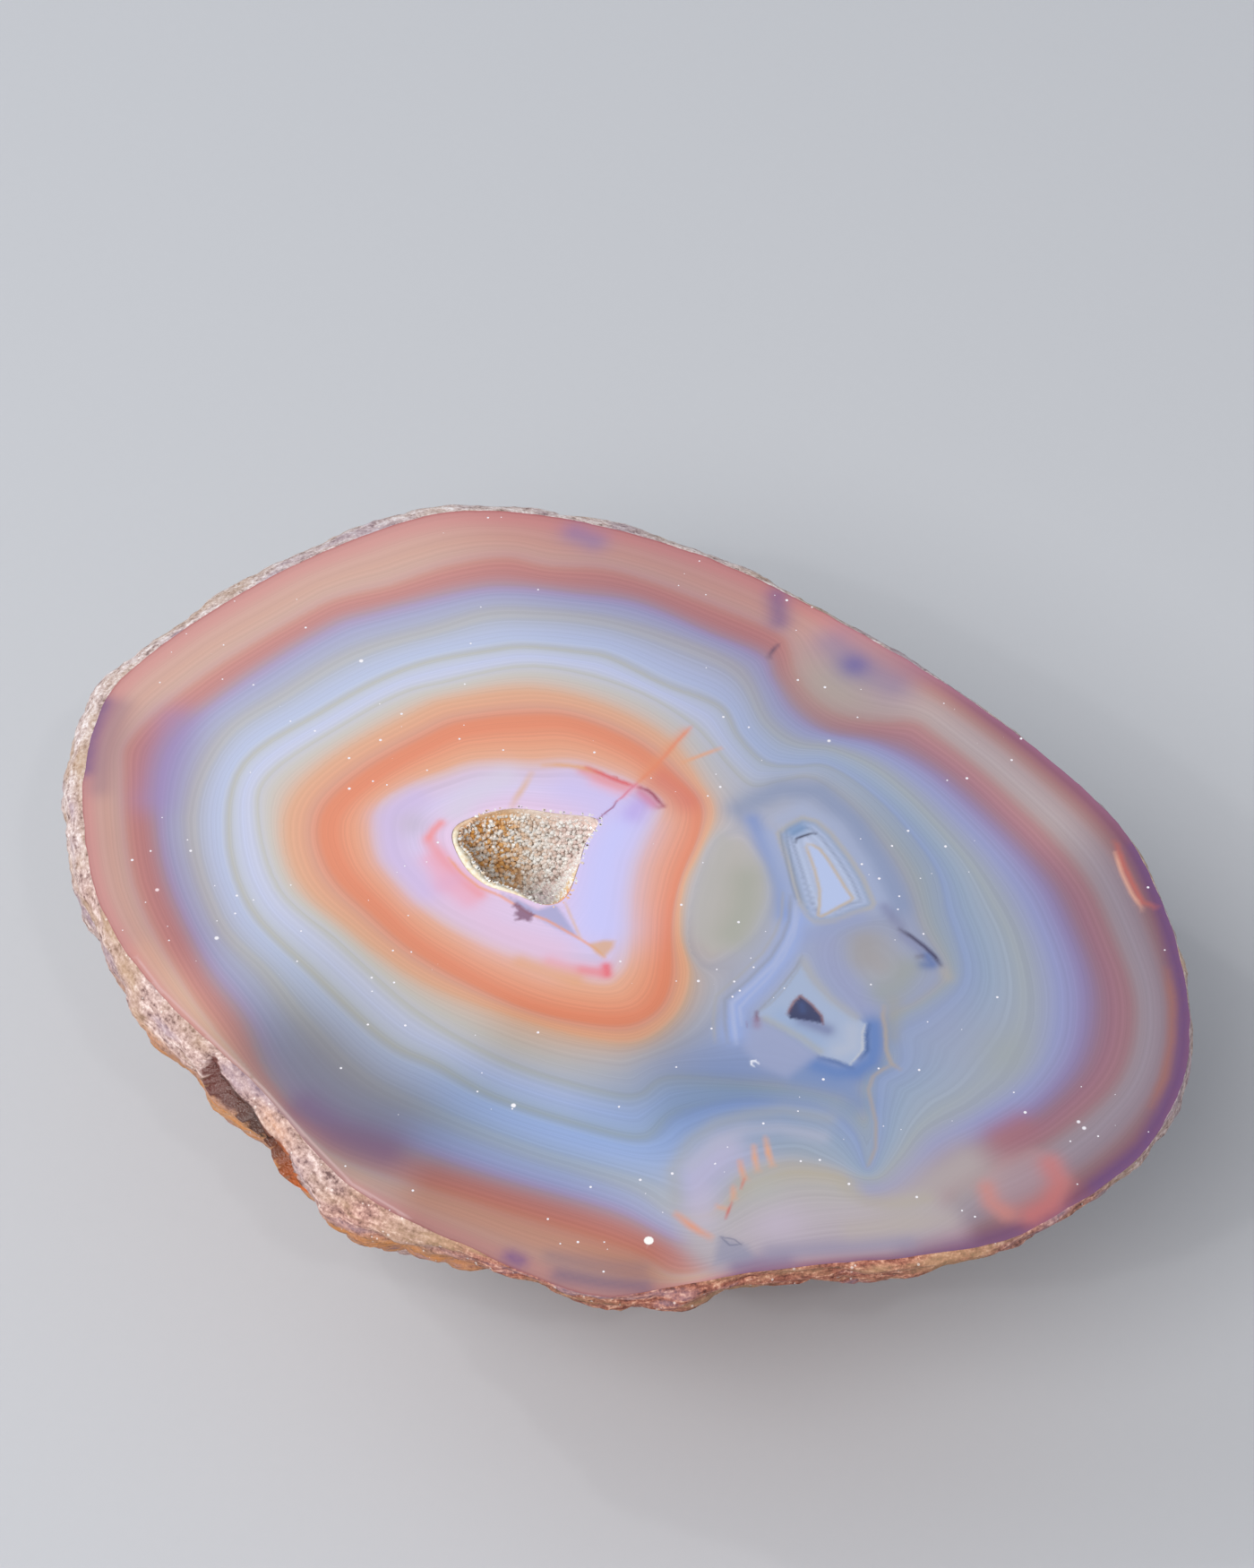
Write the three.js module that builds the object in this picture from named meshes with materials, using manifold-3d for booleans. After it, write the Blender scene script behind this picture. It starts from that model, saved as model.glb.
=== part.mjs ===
// The polished half of an agate nodule: a level cut face, a rough lumpy rind round and below it,
// a flat spot that it rests on, and a pocket in the face lined with a crust of quartz crystals.
// Millimetres, +Z up out of the cut face, origin at the middle of the flat spot.
import * as THREE from "three";
import { mergeVertices } from "three/addons/utils/BufferGeometryUtils.js";
import Module from "manifold-3d";


// Driving dimensions.
const FACE_HEIGHT = 33; // cut face above the table
const FOOT_LENGTH = 26; // flat spot, along X
const FOOT_WIDTH = 22; // flat spot, along Y
const FOOT_CENTRE = [-3, 1]; // under the stone's weight
const FLARE_REACH = 1.0; // depth over which the rind steps out past the sawn edge
const FLARE_FADE = 20; // depth over which that step dies away again
const ROW_CROWDING = 1.5; // how the rows of points crowd towards the cut edge
const SMOOTH_RIM = 5; // depth over which the lumps grow in below the sawn edge
const SMOOTH_FOOT = 1 / 12; // share of the height over which they die away above the foot
const LUMP_CENTRE = 0.8; // height that the lumps push out from, as a share of the face's
const LUMP_LIFT = 1.3; // how much more they push down than out
const POCKET_DEPTH = 9.2;
const POCKET_CENTRE = [-10.6, -3.3];
const POCKET_HALF_WIDTH = 5.5; // least distance from that centre to the pocket's edge
const POCKET_ROUNDING = 0.55; // 1 is a round bowl, less has steeper walls and a flatter floor
const POCKET_LAST_ROW = 0.97; // how far down the wall the last row is, before the flat floor
const CRUST_GAP = 0.3;
const CRUST_THICK = 0.8;
const CRYSTAL_COUNT = 54;
const CRYSTAL_RADIUS = [0.42, 0.82]; // thinnest and thickest
const CRYSTAL_TALL = [0.95, 1.35]; // shortest and tallest
const CRYSTAL_SUNK = 0.4; // how far a crystal's root sits in the crust
const CRYSTAL_LEAN = 0.3; // how far a crystal leans sideways, as a share of its way inwards
const CRYSTAL_RISE = 0.25; // how far it leans up
const CRYSTAL_SHOULDER = 0.94; // a crystal's width where its point starts, as a share of its foot
const CRYSTAL_SPREAD = 0.8; // less than 1 sets more of them low down
const CRYSTAL_ROWS = [0.12, 0.98]; // where down the wall the first and last crystals stand
const GOLDEN_ANGLE = 2.399963; // radians
const AHEAD = 0.02; // how far on, in edge points, the edge's direction is read
const AROUND = 128; // points round the stone
const DOWN = 18; // rows from the cut edge to the foot
const POCKET_AROUND = 30;
const POCKET_DOWN = 5;

// The cut edge, clockwise from the left end: x, y, how far the rind steps out there,
// and how full the side below is (1 is straight down to the foot, 2 is as round as an ellipse).
const CUT_EDGE = [
  [-53, 0, 2.9, 2], [-52.2, 6, 2.5, 2], [-50.4, 14, 3.4, 2], [-47.5, 19.9, 2.5, 2],
  [-41.5, 25.8, 2.2, 2], [-33.6, 30.8, 2.4, 2], [-24, 35, 2.1, 1.95], [-12, 38, 1.3, 1.9],
  [0, 40.1, 0.8, 1.85], [12, 40.9, 0.8, 1.8], [24, 40, 0.8, 1.75], [33, 36.2, 0.9, 1.7],
  [41, 30.9, 0.8, 1.65], [47, 24.4, 0.3, 1.55], [50.3, 17, 0.3, 1.4], [50.8, 10, 0.3, 1.28],
  [49.6, 1, 1, 1.15], [46, -6, 1.7, 1.12], [41.5, -12.5, 0.6, 1.08], [37.5, -18.5, 0.9, 1.08],
  [34, -25, 2.2, 1.12], [30, -30.6, 0.6, 1.04], [20, -35, 0.8, 1.15], [8, -38.8, 3.4, 1.6],
  [-5, -38.3, 2.6, 1.5], [-20, -38.6, 3, 1.65], [-31, -36.6, 1.4, 1.6], [-40, -31.9, 1.5, 1.7],
  [-46.3, -26.8, 2.6, 1.85], [-51.4, -20, 3.2, 1.95], [-53, -11, 2.7, 2],
];

// The pocket's mouth, clockwise from its top corner.
const POCKET_EDGE = [
  [-9, 4.2], [-7.6, 1.6], [-6, -0.6], [-4, -3.8], [-4.4, -5.9], [-7.3, -7.3],
  [-10, -8.6], [-13, -8.6], [-16.4, -7.2], [-17, -5], [-15.3, -1], [-12, 1.9],
];

// The lumps of the rind: wavelength, height and where the wave starts.
const SWELL = [41, 1.1, 0.4];
const KNOB = [19, 1.5, 1.3];
const CREASE = [9.5, 0.6, 2.1];
const LEVEL = 0.35; // mean of a folded wave, taken off so that lumps neither shrink nor grow the stone

// How the foot's outline is uneven: waves round it, share of its size, where the wave starts.
const FOOT_WAVES = [[2, 0.045, 0.6], [3, 0.035, 1.9], [7, 0.02, 0]];

// Shallow dents in the rind: turn about Z in degrees, depth below the face, radius, depth of dent.
const DENTS = [
  [12, 12, 5, 1.2], [38, 9, 4, 1.0], [63, 17, 6, 1.5], [95, 10, 4.5, 1.1], [121, 20, 6, 1.4],
  [146, 11, 4, 1.1], [172, 16, 5, 1.3], [197, 9, 4, 1.0], [221, 18, 5.5, 1.3], [246, 13, 4, 1.0],
  [292, 15, 5, 1.1], [318, 21, 5, 1.2], [342, 12, 4.5, 1.0], [80, 27, 6, 1.2], [205, 27, 6, 1.2],
];

// The long hollow in the front wall: its middle, measured down from the cut face in z, its half
// sizes, and how far its right end dips in degrees.
const HOLLOW = { at: [-4.1, -40.4, -2.15], half: [7.3, 2.7, 1.15], dip: 9.5 };

const STONE_LOOK = { color: 0xb7a09c, roughness: 0.35, metalness: 0 };
const QUARTZ_LOOK = { color: 0xdcc39a, roughness: 0.15, metalness: 0 };

const wasm = await Module();
wasm.setup();

// A smooth closed curve through the values, at place u counted in values.
function smoothLoop(values, u) {
  const n = values.length;
  const i = Math.floor(u);
  const t = u - i;
  const [a, b, c, d] = [-1, 0, 1, 2].map((k) => values[(i + k + n) % n]);
  return b + 0.5 * t * (c - a + t * (2 * a - 5 * b + 4 * c - d + t * (3 * (b - c) + d - a)));
}

// Places along a closed curve that lie evenly spaced on it.
function evenPlaces(loop, count, finer = 24) {
  const xs = loop.map((p) => p[0]);
  const ys = loop.map((p) => p[1]);
  const far = [0];
  for (let k = 1; k <= loop.length * finer; k++) {
    const [u, v] = [(k - 1) / finer, (k % (loop.length * finer)) / finer];
    const step = Math.hypot(smoothLoop(xs, v) - smoothLoop(xs, u), smoothLoop(ys, v) - smoothLoop(ys, u));
    far.push(far[k - 1] + step);
  }
  const places = [];
  let k = 0;
  for (let i = 0; i < count; i++) {
    const wanted = (far[far.length - 1] * i) / count;
    while (far[k + 1] <= wanted) k++;
    places.push((k + (wanted - far[k]) / (far[k + 1] - far[k])) / finer);
  }
  return places;
}

// A closed solid from rows of points, each row a ring, with a flat cap on the first and last row.
function solidFromRings(rings) {
  const around = rings[0].length;
  const positions = rings.flat(2);
  const triangles = [];
  for (let r = 0; r + 1 < rings.length; r++) {
    for (let i = 0; i < around; i++) {
      const [a, b] = [r * around + i, r * around + ((i + 1) % around)];
      const [c, d] = [a + around, b + around];
      triangles.push([a, c, b], [b, c, d]);
    }
  }
  // Each cap's triangles are turned the way that its ring runs, and the last row's the other way.
  const cap = (row, turned) => {
    const flat = rings[row].map((p) => new THREE.Vector2(p[0], p[1]));
    const start = row * around;
    const clockwise = THREE.ShapeUtils.isClockWise(flat);
    for (const [a, b, c] of THREE.ShapeUtils.triangulateShape(flat, [])) {
      const same = THREE.ShapeUtils.isClockWise([flat[a], flat[b], flat[c]]) === clockwise;
      triangles.push((same === turned ? [c, b, a] : [a, b, c]).map((k) => start + k));
    }
  };
  cap(0, false);
  cap(rings.length - 1, true);
  return manifold(new Float32Array(positions), triangles.flat());
}

function manifold(positions, triangles) {
  const mesh = { numProp: 3, vertProperties: positions, triVerts: new Uint32Array(triangles) };
  const solid = new wasm.Manifold(new wasm.Mesh(mesh));
  if (solid.volume() > 0) return solid;
  const turned = [];
  for (let i = 0; i < triangles.length; i += 3) {
    turned.push(triangles[i + 2], triangles[i + 1], triangles[i]);
  }
  return new wasm.Manifold(new wasm.Mesh({ ...mesh, triVerts: new Uint32Array(turned) }));
}

function fromGeometry(geometry) {
  const bare = geometry.clone();
  bare.deleteAttribute("normal");
  bare.deleteAttribute("uv");
  const merged = mergeVertices(bare, 1e-4);
  return manifold(new Float32Array(merged.attributes.position.array), [...merged.index.array]);
}

// One layer of lumps: a smooth wave in all three directions, its wavelength in millimetres.
function wave(x, y, z, length, start) {
  const [a, b, c] = [x + 0.4 * y, y - 0.4 * x, z + 0.3 * x].map((v) => (v * 2 * Math.PI) / length + start);
  return (Math.sin(a) * Math.cos(b) + Math.sin(b) * Math.cos(c) + Math.sin(c) * Math.cos(a)) / 1.5;
}

// Swells, knobs and creases of the rind, in millimetres out, the same at the same place.
function lumps(x, y, z) {
  const swells = wave(x, y, z, SWELL[0], SWELL[2]);
  const knobs = Math.abs(wave(x, y, z, KNOB[0], KNOB[2])) - LEVEL;
  const creases = Math.abs(wave(z, x, y, CREASE[0], CREASE[2])) - LEVEL;
  return SWELL[1] * swells + KNOB[1] * knobs + CREASE[1] * creases;
}

// How far the dents sink the rind at a point.
function dents(x, y, depth) {
  let sunk = 0;
  for (const [turn, low, radius, deep] of DENTS) {
    const away = (Math.atan2(y, x) * 180) / Math.PI - turn;
    const round = ((((away + 180) % 360) + 360) % 360) - 180;
    const across = (round * Math.PI * Math.hypot(x, y)) / 180;
    sunk += deep * Math.exp(-(across ** 2 + (depth - low) ** 2) / radius ** 2);
  }
  return sunk;
}

// How far the foot's edge is from its centre in a direction, as a share of its length and width.
function footShare(turn) {
  return FOOT_WAVES.reduce((sum, [waves, high, start]) => sum + high * Math.sin(waves * turn + start), 0.5);
}

// A point of the stone's side: place u on the cut edge, and 0 at that edge to 1 at the foot.
function sidePoint(edge, u, down) {
  const [x, y, flare, full] = edge.map((values) => smoothLoop(values, u));
  const [nx, ny] = [0, 1].map((k) => smoothLoop(edge[k], u + AHEAD) - smoothLoop(edge[k], u));
  const long = Math.hypot(nx, ny);
  const share = Math.sin((down * Math.PI) / 2) ** ROW_CROWDING;
  const depth = FACE_HEIGHT * share;
  const [ax, ay] = [x - FOOT_CENTRE[0], y - FOOT_CENTRE[1]];
  const turn = Math.atan2(ay / FOOT_WIDTH, ax / FOOT_LENGTH);
  const fx = FOOT_CENTRE[0] + Math.cos(turn) * FOOT_LENGTH * footShare(turn);
  const fy = FOOT_CENTRE[1] + Math.sin(turn) * FOOT_WIDTH * footShare(turn);
  const keep = Math.max(0, 1 - share ** full) ** (1 / full);
  const step = flare * (1 - Math.exp(-depth / FLARE_REACH)) * Math.exp(-depth / FLARE_FADE);
  const out = [fx + (x - fx) * keep - (ny / long) * step, fy + (y - fy) * keep + (nx / long) * step];
  const z = FACE_HEIGHT - depth;
  // The sawn edge and the foot stay smooth, and the lumps grow between them.
  const rough = Math.min(1, depth / SMOOTH_RIM) * Math.min(1, (1 - share) / SMOOTH_FOOT);
  const push = rough * (lumps(out[0], out[1], z) - dents(out[0], out[1], depth));
  const away = new THREE.Vector3(out[0], out[1], (z - FACE_HEIGHT * LUMP_CENTRE) * LUMP_LIFT).normalize();
  return [out[0] + away.x * push, out[1] + away.y * push, z + away.z * push];
}

function stoneBody() {
  const edge = [0, 1, 2, 3].map((k) => CUT_EDGE.map((p) => p[k]));
  const places = evenPlaces(CUT_EDGE, AROUND);
  const rings = [];
  for (let r = 0; r <= DOWN; r++) {
    rings.push(places.map((u) => sidePoint(edge, u, r / DOWN)));
  }
  return solidFromRings(rings);
}

// A point of the pocket's wall: 0 at the mouth to 1 at the floor's middle, drawn in by inset.
function bowlPoint(u, down, inset) {
  const across = (1 - inset / POCKET_HALF_WIDTH) * Math.cos((down * Math.PI) / 2) ** POCKET_ROUNDING;
  const [x, y] = [0, 1].map((k) => {
    const edge = smoothLoop(POCKET_EDGE.map((p) => p[k]), u);
    return POCKET_CENTRE[k] + (edge - POCKET_CENTRE[k]) * across;
  });
  return [x, y, FACE_HEIGHT - (POCKET_DEPTH - inset) * Math.sin((down * Math.PI) / 2)];
}

// The pocket's space as a solid, its mouth carried up past the face by rise.
function bowl(inset, rise) {
  const places = evenPlaces(POCKET_EDGE, POCKET_AROUND);
  const rings = [];
  if (rise > 0) {
    rings.push(places.map((u) => bowlPoint(u, 0, inset).with(2, FACE_HEIGHT + rise)));
  }
  for (let r = 0; r <= POCKET_DOWN; r++) {
    rings.push(places.map((u) => bowlPoint(u, (POCKET_LAST_ROW * r) / POCKET_DOWN, inset)));
  }
  return solidFromRings(rings);
}

// The long hollow that is cut into the front wall.
function wallHollow() {
  const shape = new THREE.SphereGeometry(1, 16, 10).scale(...HOLLOW.half);
  shape.rotateY(THREE.MathUtils.degToRad(HOLLOW.dip));
  shape.translate(HOLLOW.at[0], HOLLOW.at[1], FACE_HEIGHT + HOLLOW.at[2]);
  return fromGeometry(shape);
}

// One quartz crystal: a six-sided prism with a six-sided point, along +Z from its root at 0.
function crystal(radius, tall) {
  const outline = [[0, 0], [radius, 0], [radius * CRYSTAL_SHOULDER, tall / 2], [0, tall]];
  return new THREE.LatheGeometry(outline.map(([x, y]) => new THREE.Vector2(x, y)), 6).rotateX(Math.PI / 2);
}

// A value between two ends that differs from crystal to crystal.
function between([low, high], i, rate) {
  return low + (high - low) * (0.5 + 0.5 * Math.sin(i * rate));
}

// The crystals, spread by the golden angle over the crust's inner wall and leaning inwards and up.
function crystalAt(i) {
  const inset = CRUST_GAP + CRUST_THICK;
  const [first, last] = CRYSTAL_ROWS;
  const down = first + (last - first) * ((i + 0.5) / CRYSTAL_COUNT) ** CRYSTAL_SPREAD;
  const u = (((i * GOLDEN_ANGLE) / (2 * Math.PI)) % 1) * POCKET_EDGE.length;
  const root = new THREE.Vector3(...bowlPoint(u, down, inset));
  const beside = new THREE.Vector3(...bowlPoint(u + 0.05, down, inset)).sub(root);
  const below = new THREE.Vector3(...bowlPoint(u, Math.min(down + 0.01, 0.995), inset)).sub(root);
  const inwards = below.cross(beside).normalize();
  const hub = new THREE.Vector3(...POCKET_CENTRE, FACE_HEIGHT - 1);
  if (inwards.dot(hub.sub(root)) < 0) inwards.negate();
  const sideways = [-CRYSTAL_LEAN, CRYSTAL_LEAN];
  const lean = new THREE.Vector3(between(sideways, i, 1.7), between(sideways, i, 2.3), CRYSTAL_RISE);
  const way = inwards.add(lean).normalize();
  const shape = crystal(between(CRYSTAL_RADIUS, i, 2.9), between(CRYSTAL_TALL, i, 4.1));
  shape.rotateZ(i);
  shape.applyQuaternion(new THREE.Quaternion().setFromUnitVectors(new THREE.Vector3(0, 0, 1), way));
  const foot = root.addScaledVector(way, -CRYSTAL_SUNK);
  return fromGeometry(shape.translate(foot.x, foot.y, foot.z));
}

function crust() {
  const outside = bowl(CRUST_GAP, 0);
  let joined = outside.subtract(bowl(CRUST_GAP + CRUST_THICK, 1));
  for (let i = 0; i < CRYSTAL_COUNT; i++) joined = joined.add(crystalAt(i));
  return joined.intersect(outside);
}

function named(name, solid, look) {
  const { vertProperties, triVerts } = solid.getMesh();
  const geometry = new THREE.BufferGeometry();
  geometry.setAttribute("position", new THREE.BufferAttribute(vertProperties, 3));
  geometry.setIndex(new THREE.BufferAttribute(triVerts, 1));
  geometry.computeVertexNormals();
  const mesh = new THREE.Mesh(geometry, new THREE.MeshStandardMaterial({ ...look, flatShading: true }));
  mesh.name = name;
  return mesh;
}

const geode = new THREE.Group();
geode.add(named("agate_half", stoneBody().subtract(bowl(0, 1)).subtract(wallHollow()), STONE_LOOK));
geode.add(named("quartz_crust", crust(), QUARTZ_LOOK));

export default geode;
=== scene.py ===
import math

import bpy
import numpy as np
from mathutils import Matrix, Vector, noise
from mathutils.geometry import delaunay_2d_cdt


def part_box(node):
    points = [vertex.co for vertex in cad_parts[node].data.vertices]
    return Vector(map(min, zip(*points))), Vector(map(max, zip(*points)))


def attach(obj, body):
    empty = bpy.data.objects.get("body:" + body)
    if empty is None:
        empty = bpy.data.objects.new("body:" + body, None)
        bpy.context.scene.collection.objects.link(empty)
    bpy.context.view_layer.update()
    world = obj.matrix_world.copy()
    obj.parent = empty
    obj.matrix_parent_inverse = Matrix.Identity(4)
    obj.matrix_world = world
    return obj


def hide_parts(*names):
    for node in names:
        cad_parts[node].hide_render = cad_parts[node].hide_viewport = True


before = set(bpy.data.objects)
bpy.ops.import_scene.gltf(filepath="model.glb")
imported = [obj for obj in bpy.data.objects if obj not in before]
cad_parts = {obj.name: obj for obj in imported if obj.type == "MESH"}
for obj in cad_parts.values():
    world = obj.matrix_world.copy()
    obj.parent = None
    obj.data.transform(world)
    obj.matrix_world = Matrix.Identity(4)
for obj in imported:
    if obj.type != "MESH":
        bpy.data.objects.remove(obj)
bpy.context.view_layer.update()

bl_info = {
    "name": "Agate Half",
    "version": (1, 0, 0),
    "blender": (4, 5, 0),
    "location": "View3D > Sidebar > Agate",
    "description": "Builds a polished agate half with its bands, rind and quartz-lined pocket",
    "category": "Add Mesh",
}

# Lengths in the tables are millimetres on the cut face, as in the solid, and become metres in the meshes.
MM = 0.001
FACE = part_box("agate_half")[1].z / MM
FOOT_LENGTH = 26.0
FOOT_WIDTH = 22.0
FOOT_CENTRE = (-3.0, 1.0)
FLARE_REACH = 1.0
FLARE_FADE = 20.0
POCKET_DEPTH = 9.2
POCKET_CENTRE = (-10.6, -3.3)
POCKET_HALF_WIDTH = 5.5
POCKET_ROUNDING = 0.55
CRUST_THICK = 1.3
RIM_THIN = 0.08
RIM_THICK = 0.7
RIM_TURN = -102
RIM_SPREAD = 60
FRINGE = 0.45
SAWN = 0.012
POCKET_END = 0.97
POCKET_ROWS = 10
CRUST_ROUND = 120
CRUST_ROWS = 22
SEEDBED_ROWS = 24
QUARTZ_IOR = 1.54

# Heights of the rind's fine relief and of its ragged cut edge.
COARSE_RELIEF = 0.16
KNOT_RELIEF = 0.14
GRIT_RELIEF = 0.15
LEDGE_RELIEF = 0.22
LEDGE_SPACING = 1.9
RAGGED_BROAD = 0.14
RAGGED_FINE = 0.06

# The cut edge, clockwise from the left end: x, y, how far the rind steps out, how full the side is.
CUT_EDGE = [
    (-53, 0, 2.9, 2), (-52.2, 6, 2.5, 2), (-50.4, 14, 3.4, 2), (-47.5, 19.9, 2.5, 2),
    (-41.5, 25.8, 2.2, 2), (-33.6, 30.8, 2.4, 2), (-24, 35, 2.1, 1.95), (-12, 38, 1.3, 1.9),
    (0, 40.1, 0.8, 1.85), (12, 40.9, 0.8, 1.8), (24, 40, 0.8, 1.75), (33, 36.2, 0.9, 1.7),
    (41, 30.9, 0.8, 1.65), (47, 24.4, 0.3, 1.55), (50.3, 17, 0.3, 1.4), (50.8, 10, 0.3, 1.28),
    (49.6, 1, 1, 1.15), (46, -6, 1.7, 1.12), (41.5, -12.5, 0.6, 1.08), (37.5, -18.5, 0.9, 1.08),
    (34, -25, 2.2, 1.12), (30, -30.6, 0.6, 1.04), (20, -35, 0.8, 1.15), (8, -38.8, 3.4, 1.6),
    (-5, -38.3, 2.6, 1.5), (-20, -38.6, 3, 1.65), (-31, -36.6, 1.4, 1.6), (-40, -31.9, 1.5, 1.7),
    (-46.3, -26.8, 2.6, 1.85), (-51.4, -20, 3.2, 1.95), (-53, -11, 2.7, 2),
]

# Shallow dents in the rind: turn about Z in degrees, depth below the face, radius, depth of dent.
DENTS = [
    (12, 12, 5, 1.2), (38, 9, 4, 1.0), (63, 17, 6, 1.5), (95, 10, 4.5, 1.1), (121, 20, 6, 1.4),
    (146, 11, 4, 1.1), (172, 16, 5, 1.3), (197, 9, 4, 1.0), (221, 18, 5.5, 1.3), (246, 13, 4, 1.0),
    (292, 15, 5, 1.1), (318, 21, 5, 1.2), (342, 12, 4.5, 1.0), (80, 27, 6, 1.2), (205, 27, 6, 1.2),
]

# The long hollow of the front wall: its mouth as x and depth below the face, and how deep it goes in.
HOLLOW_MOUTH = [
    (-10.9, 0.5), (-9.5, 0.65), (-7.1, 0.9), (-5.1, 1.05),
    (-3.3, 1.2), (-1.3, 1.15), (0.9, 1.0), (2.1, 1.3),
    (3.2, 2.1), (4.3, 3.1), (4.7, 4.1), (3.1, 4.8), (0.9, 4.5), (-1.1, 3.7), (-2.9, 3.1), (-5.9, 2.4),
    (-8.1, 2.3), (-9.9, 2.1), (-10.5, 1.4),
]
HOLLOW_DEPTH = 2.6
HOLLOW_LIP = 0.5
HOLLOW_RAGGED = 0.12
HOLLOW_EDGE = (-0.25, 0.0)

# Turns about Z in degrees over which the rind's copper comes and goes, full at the right, less in front.
COPPER_RIGHT = ((-84, -46), (44, -12))
COPPER_FRONT = ((-160, -120), (-50, -70))
COPPER_FRONT_SHARE = 0.35
COPPER_WAVER = 14

# Where a painted amber glow lies on the front wall, by turn and by depth, and where the yellow crust lies
# high on its middle.
GLOW_TURNS = ((-132, -112), (-52, -66))
GLOW_DEPTHS = ((1.7, 3.0), (14, 7))
CRUST_PLACE = (-1.5, 0.5)
CRUST_SIZE = (3, 0.4)
CRUST_SHARE = 0.5

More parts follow.
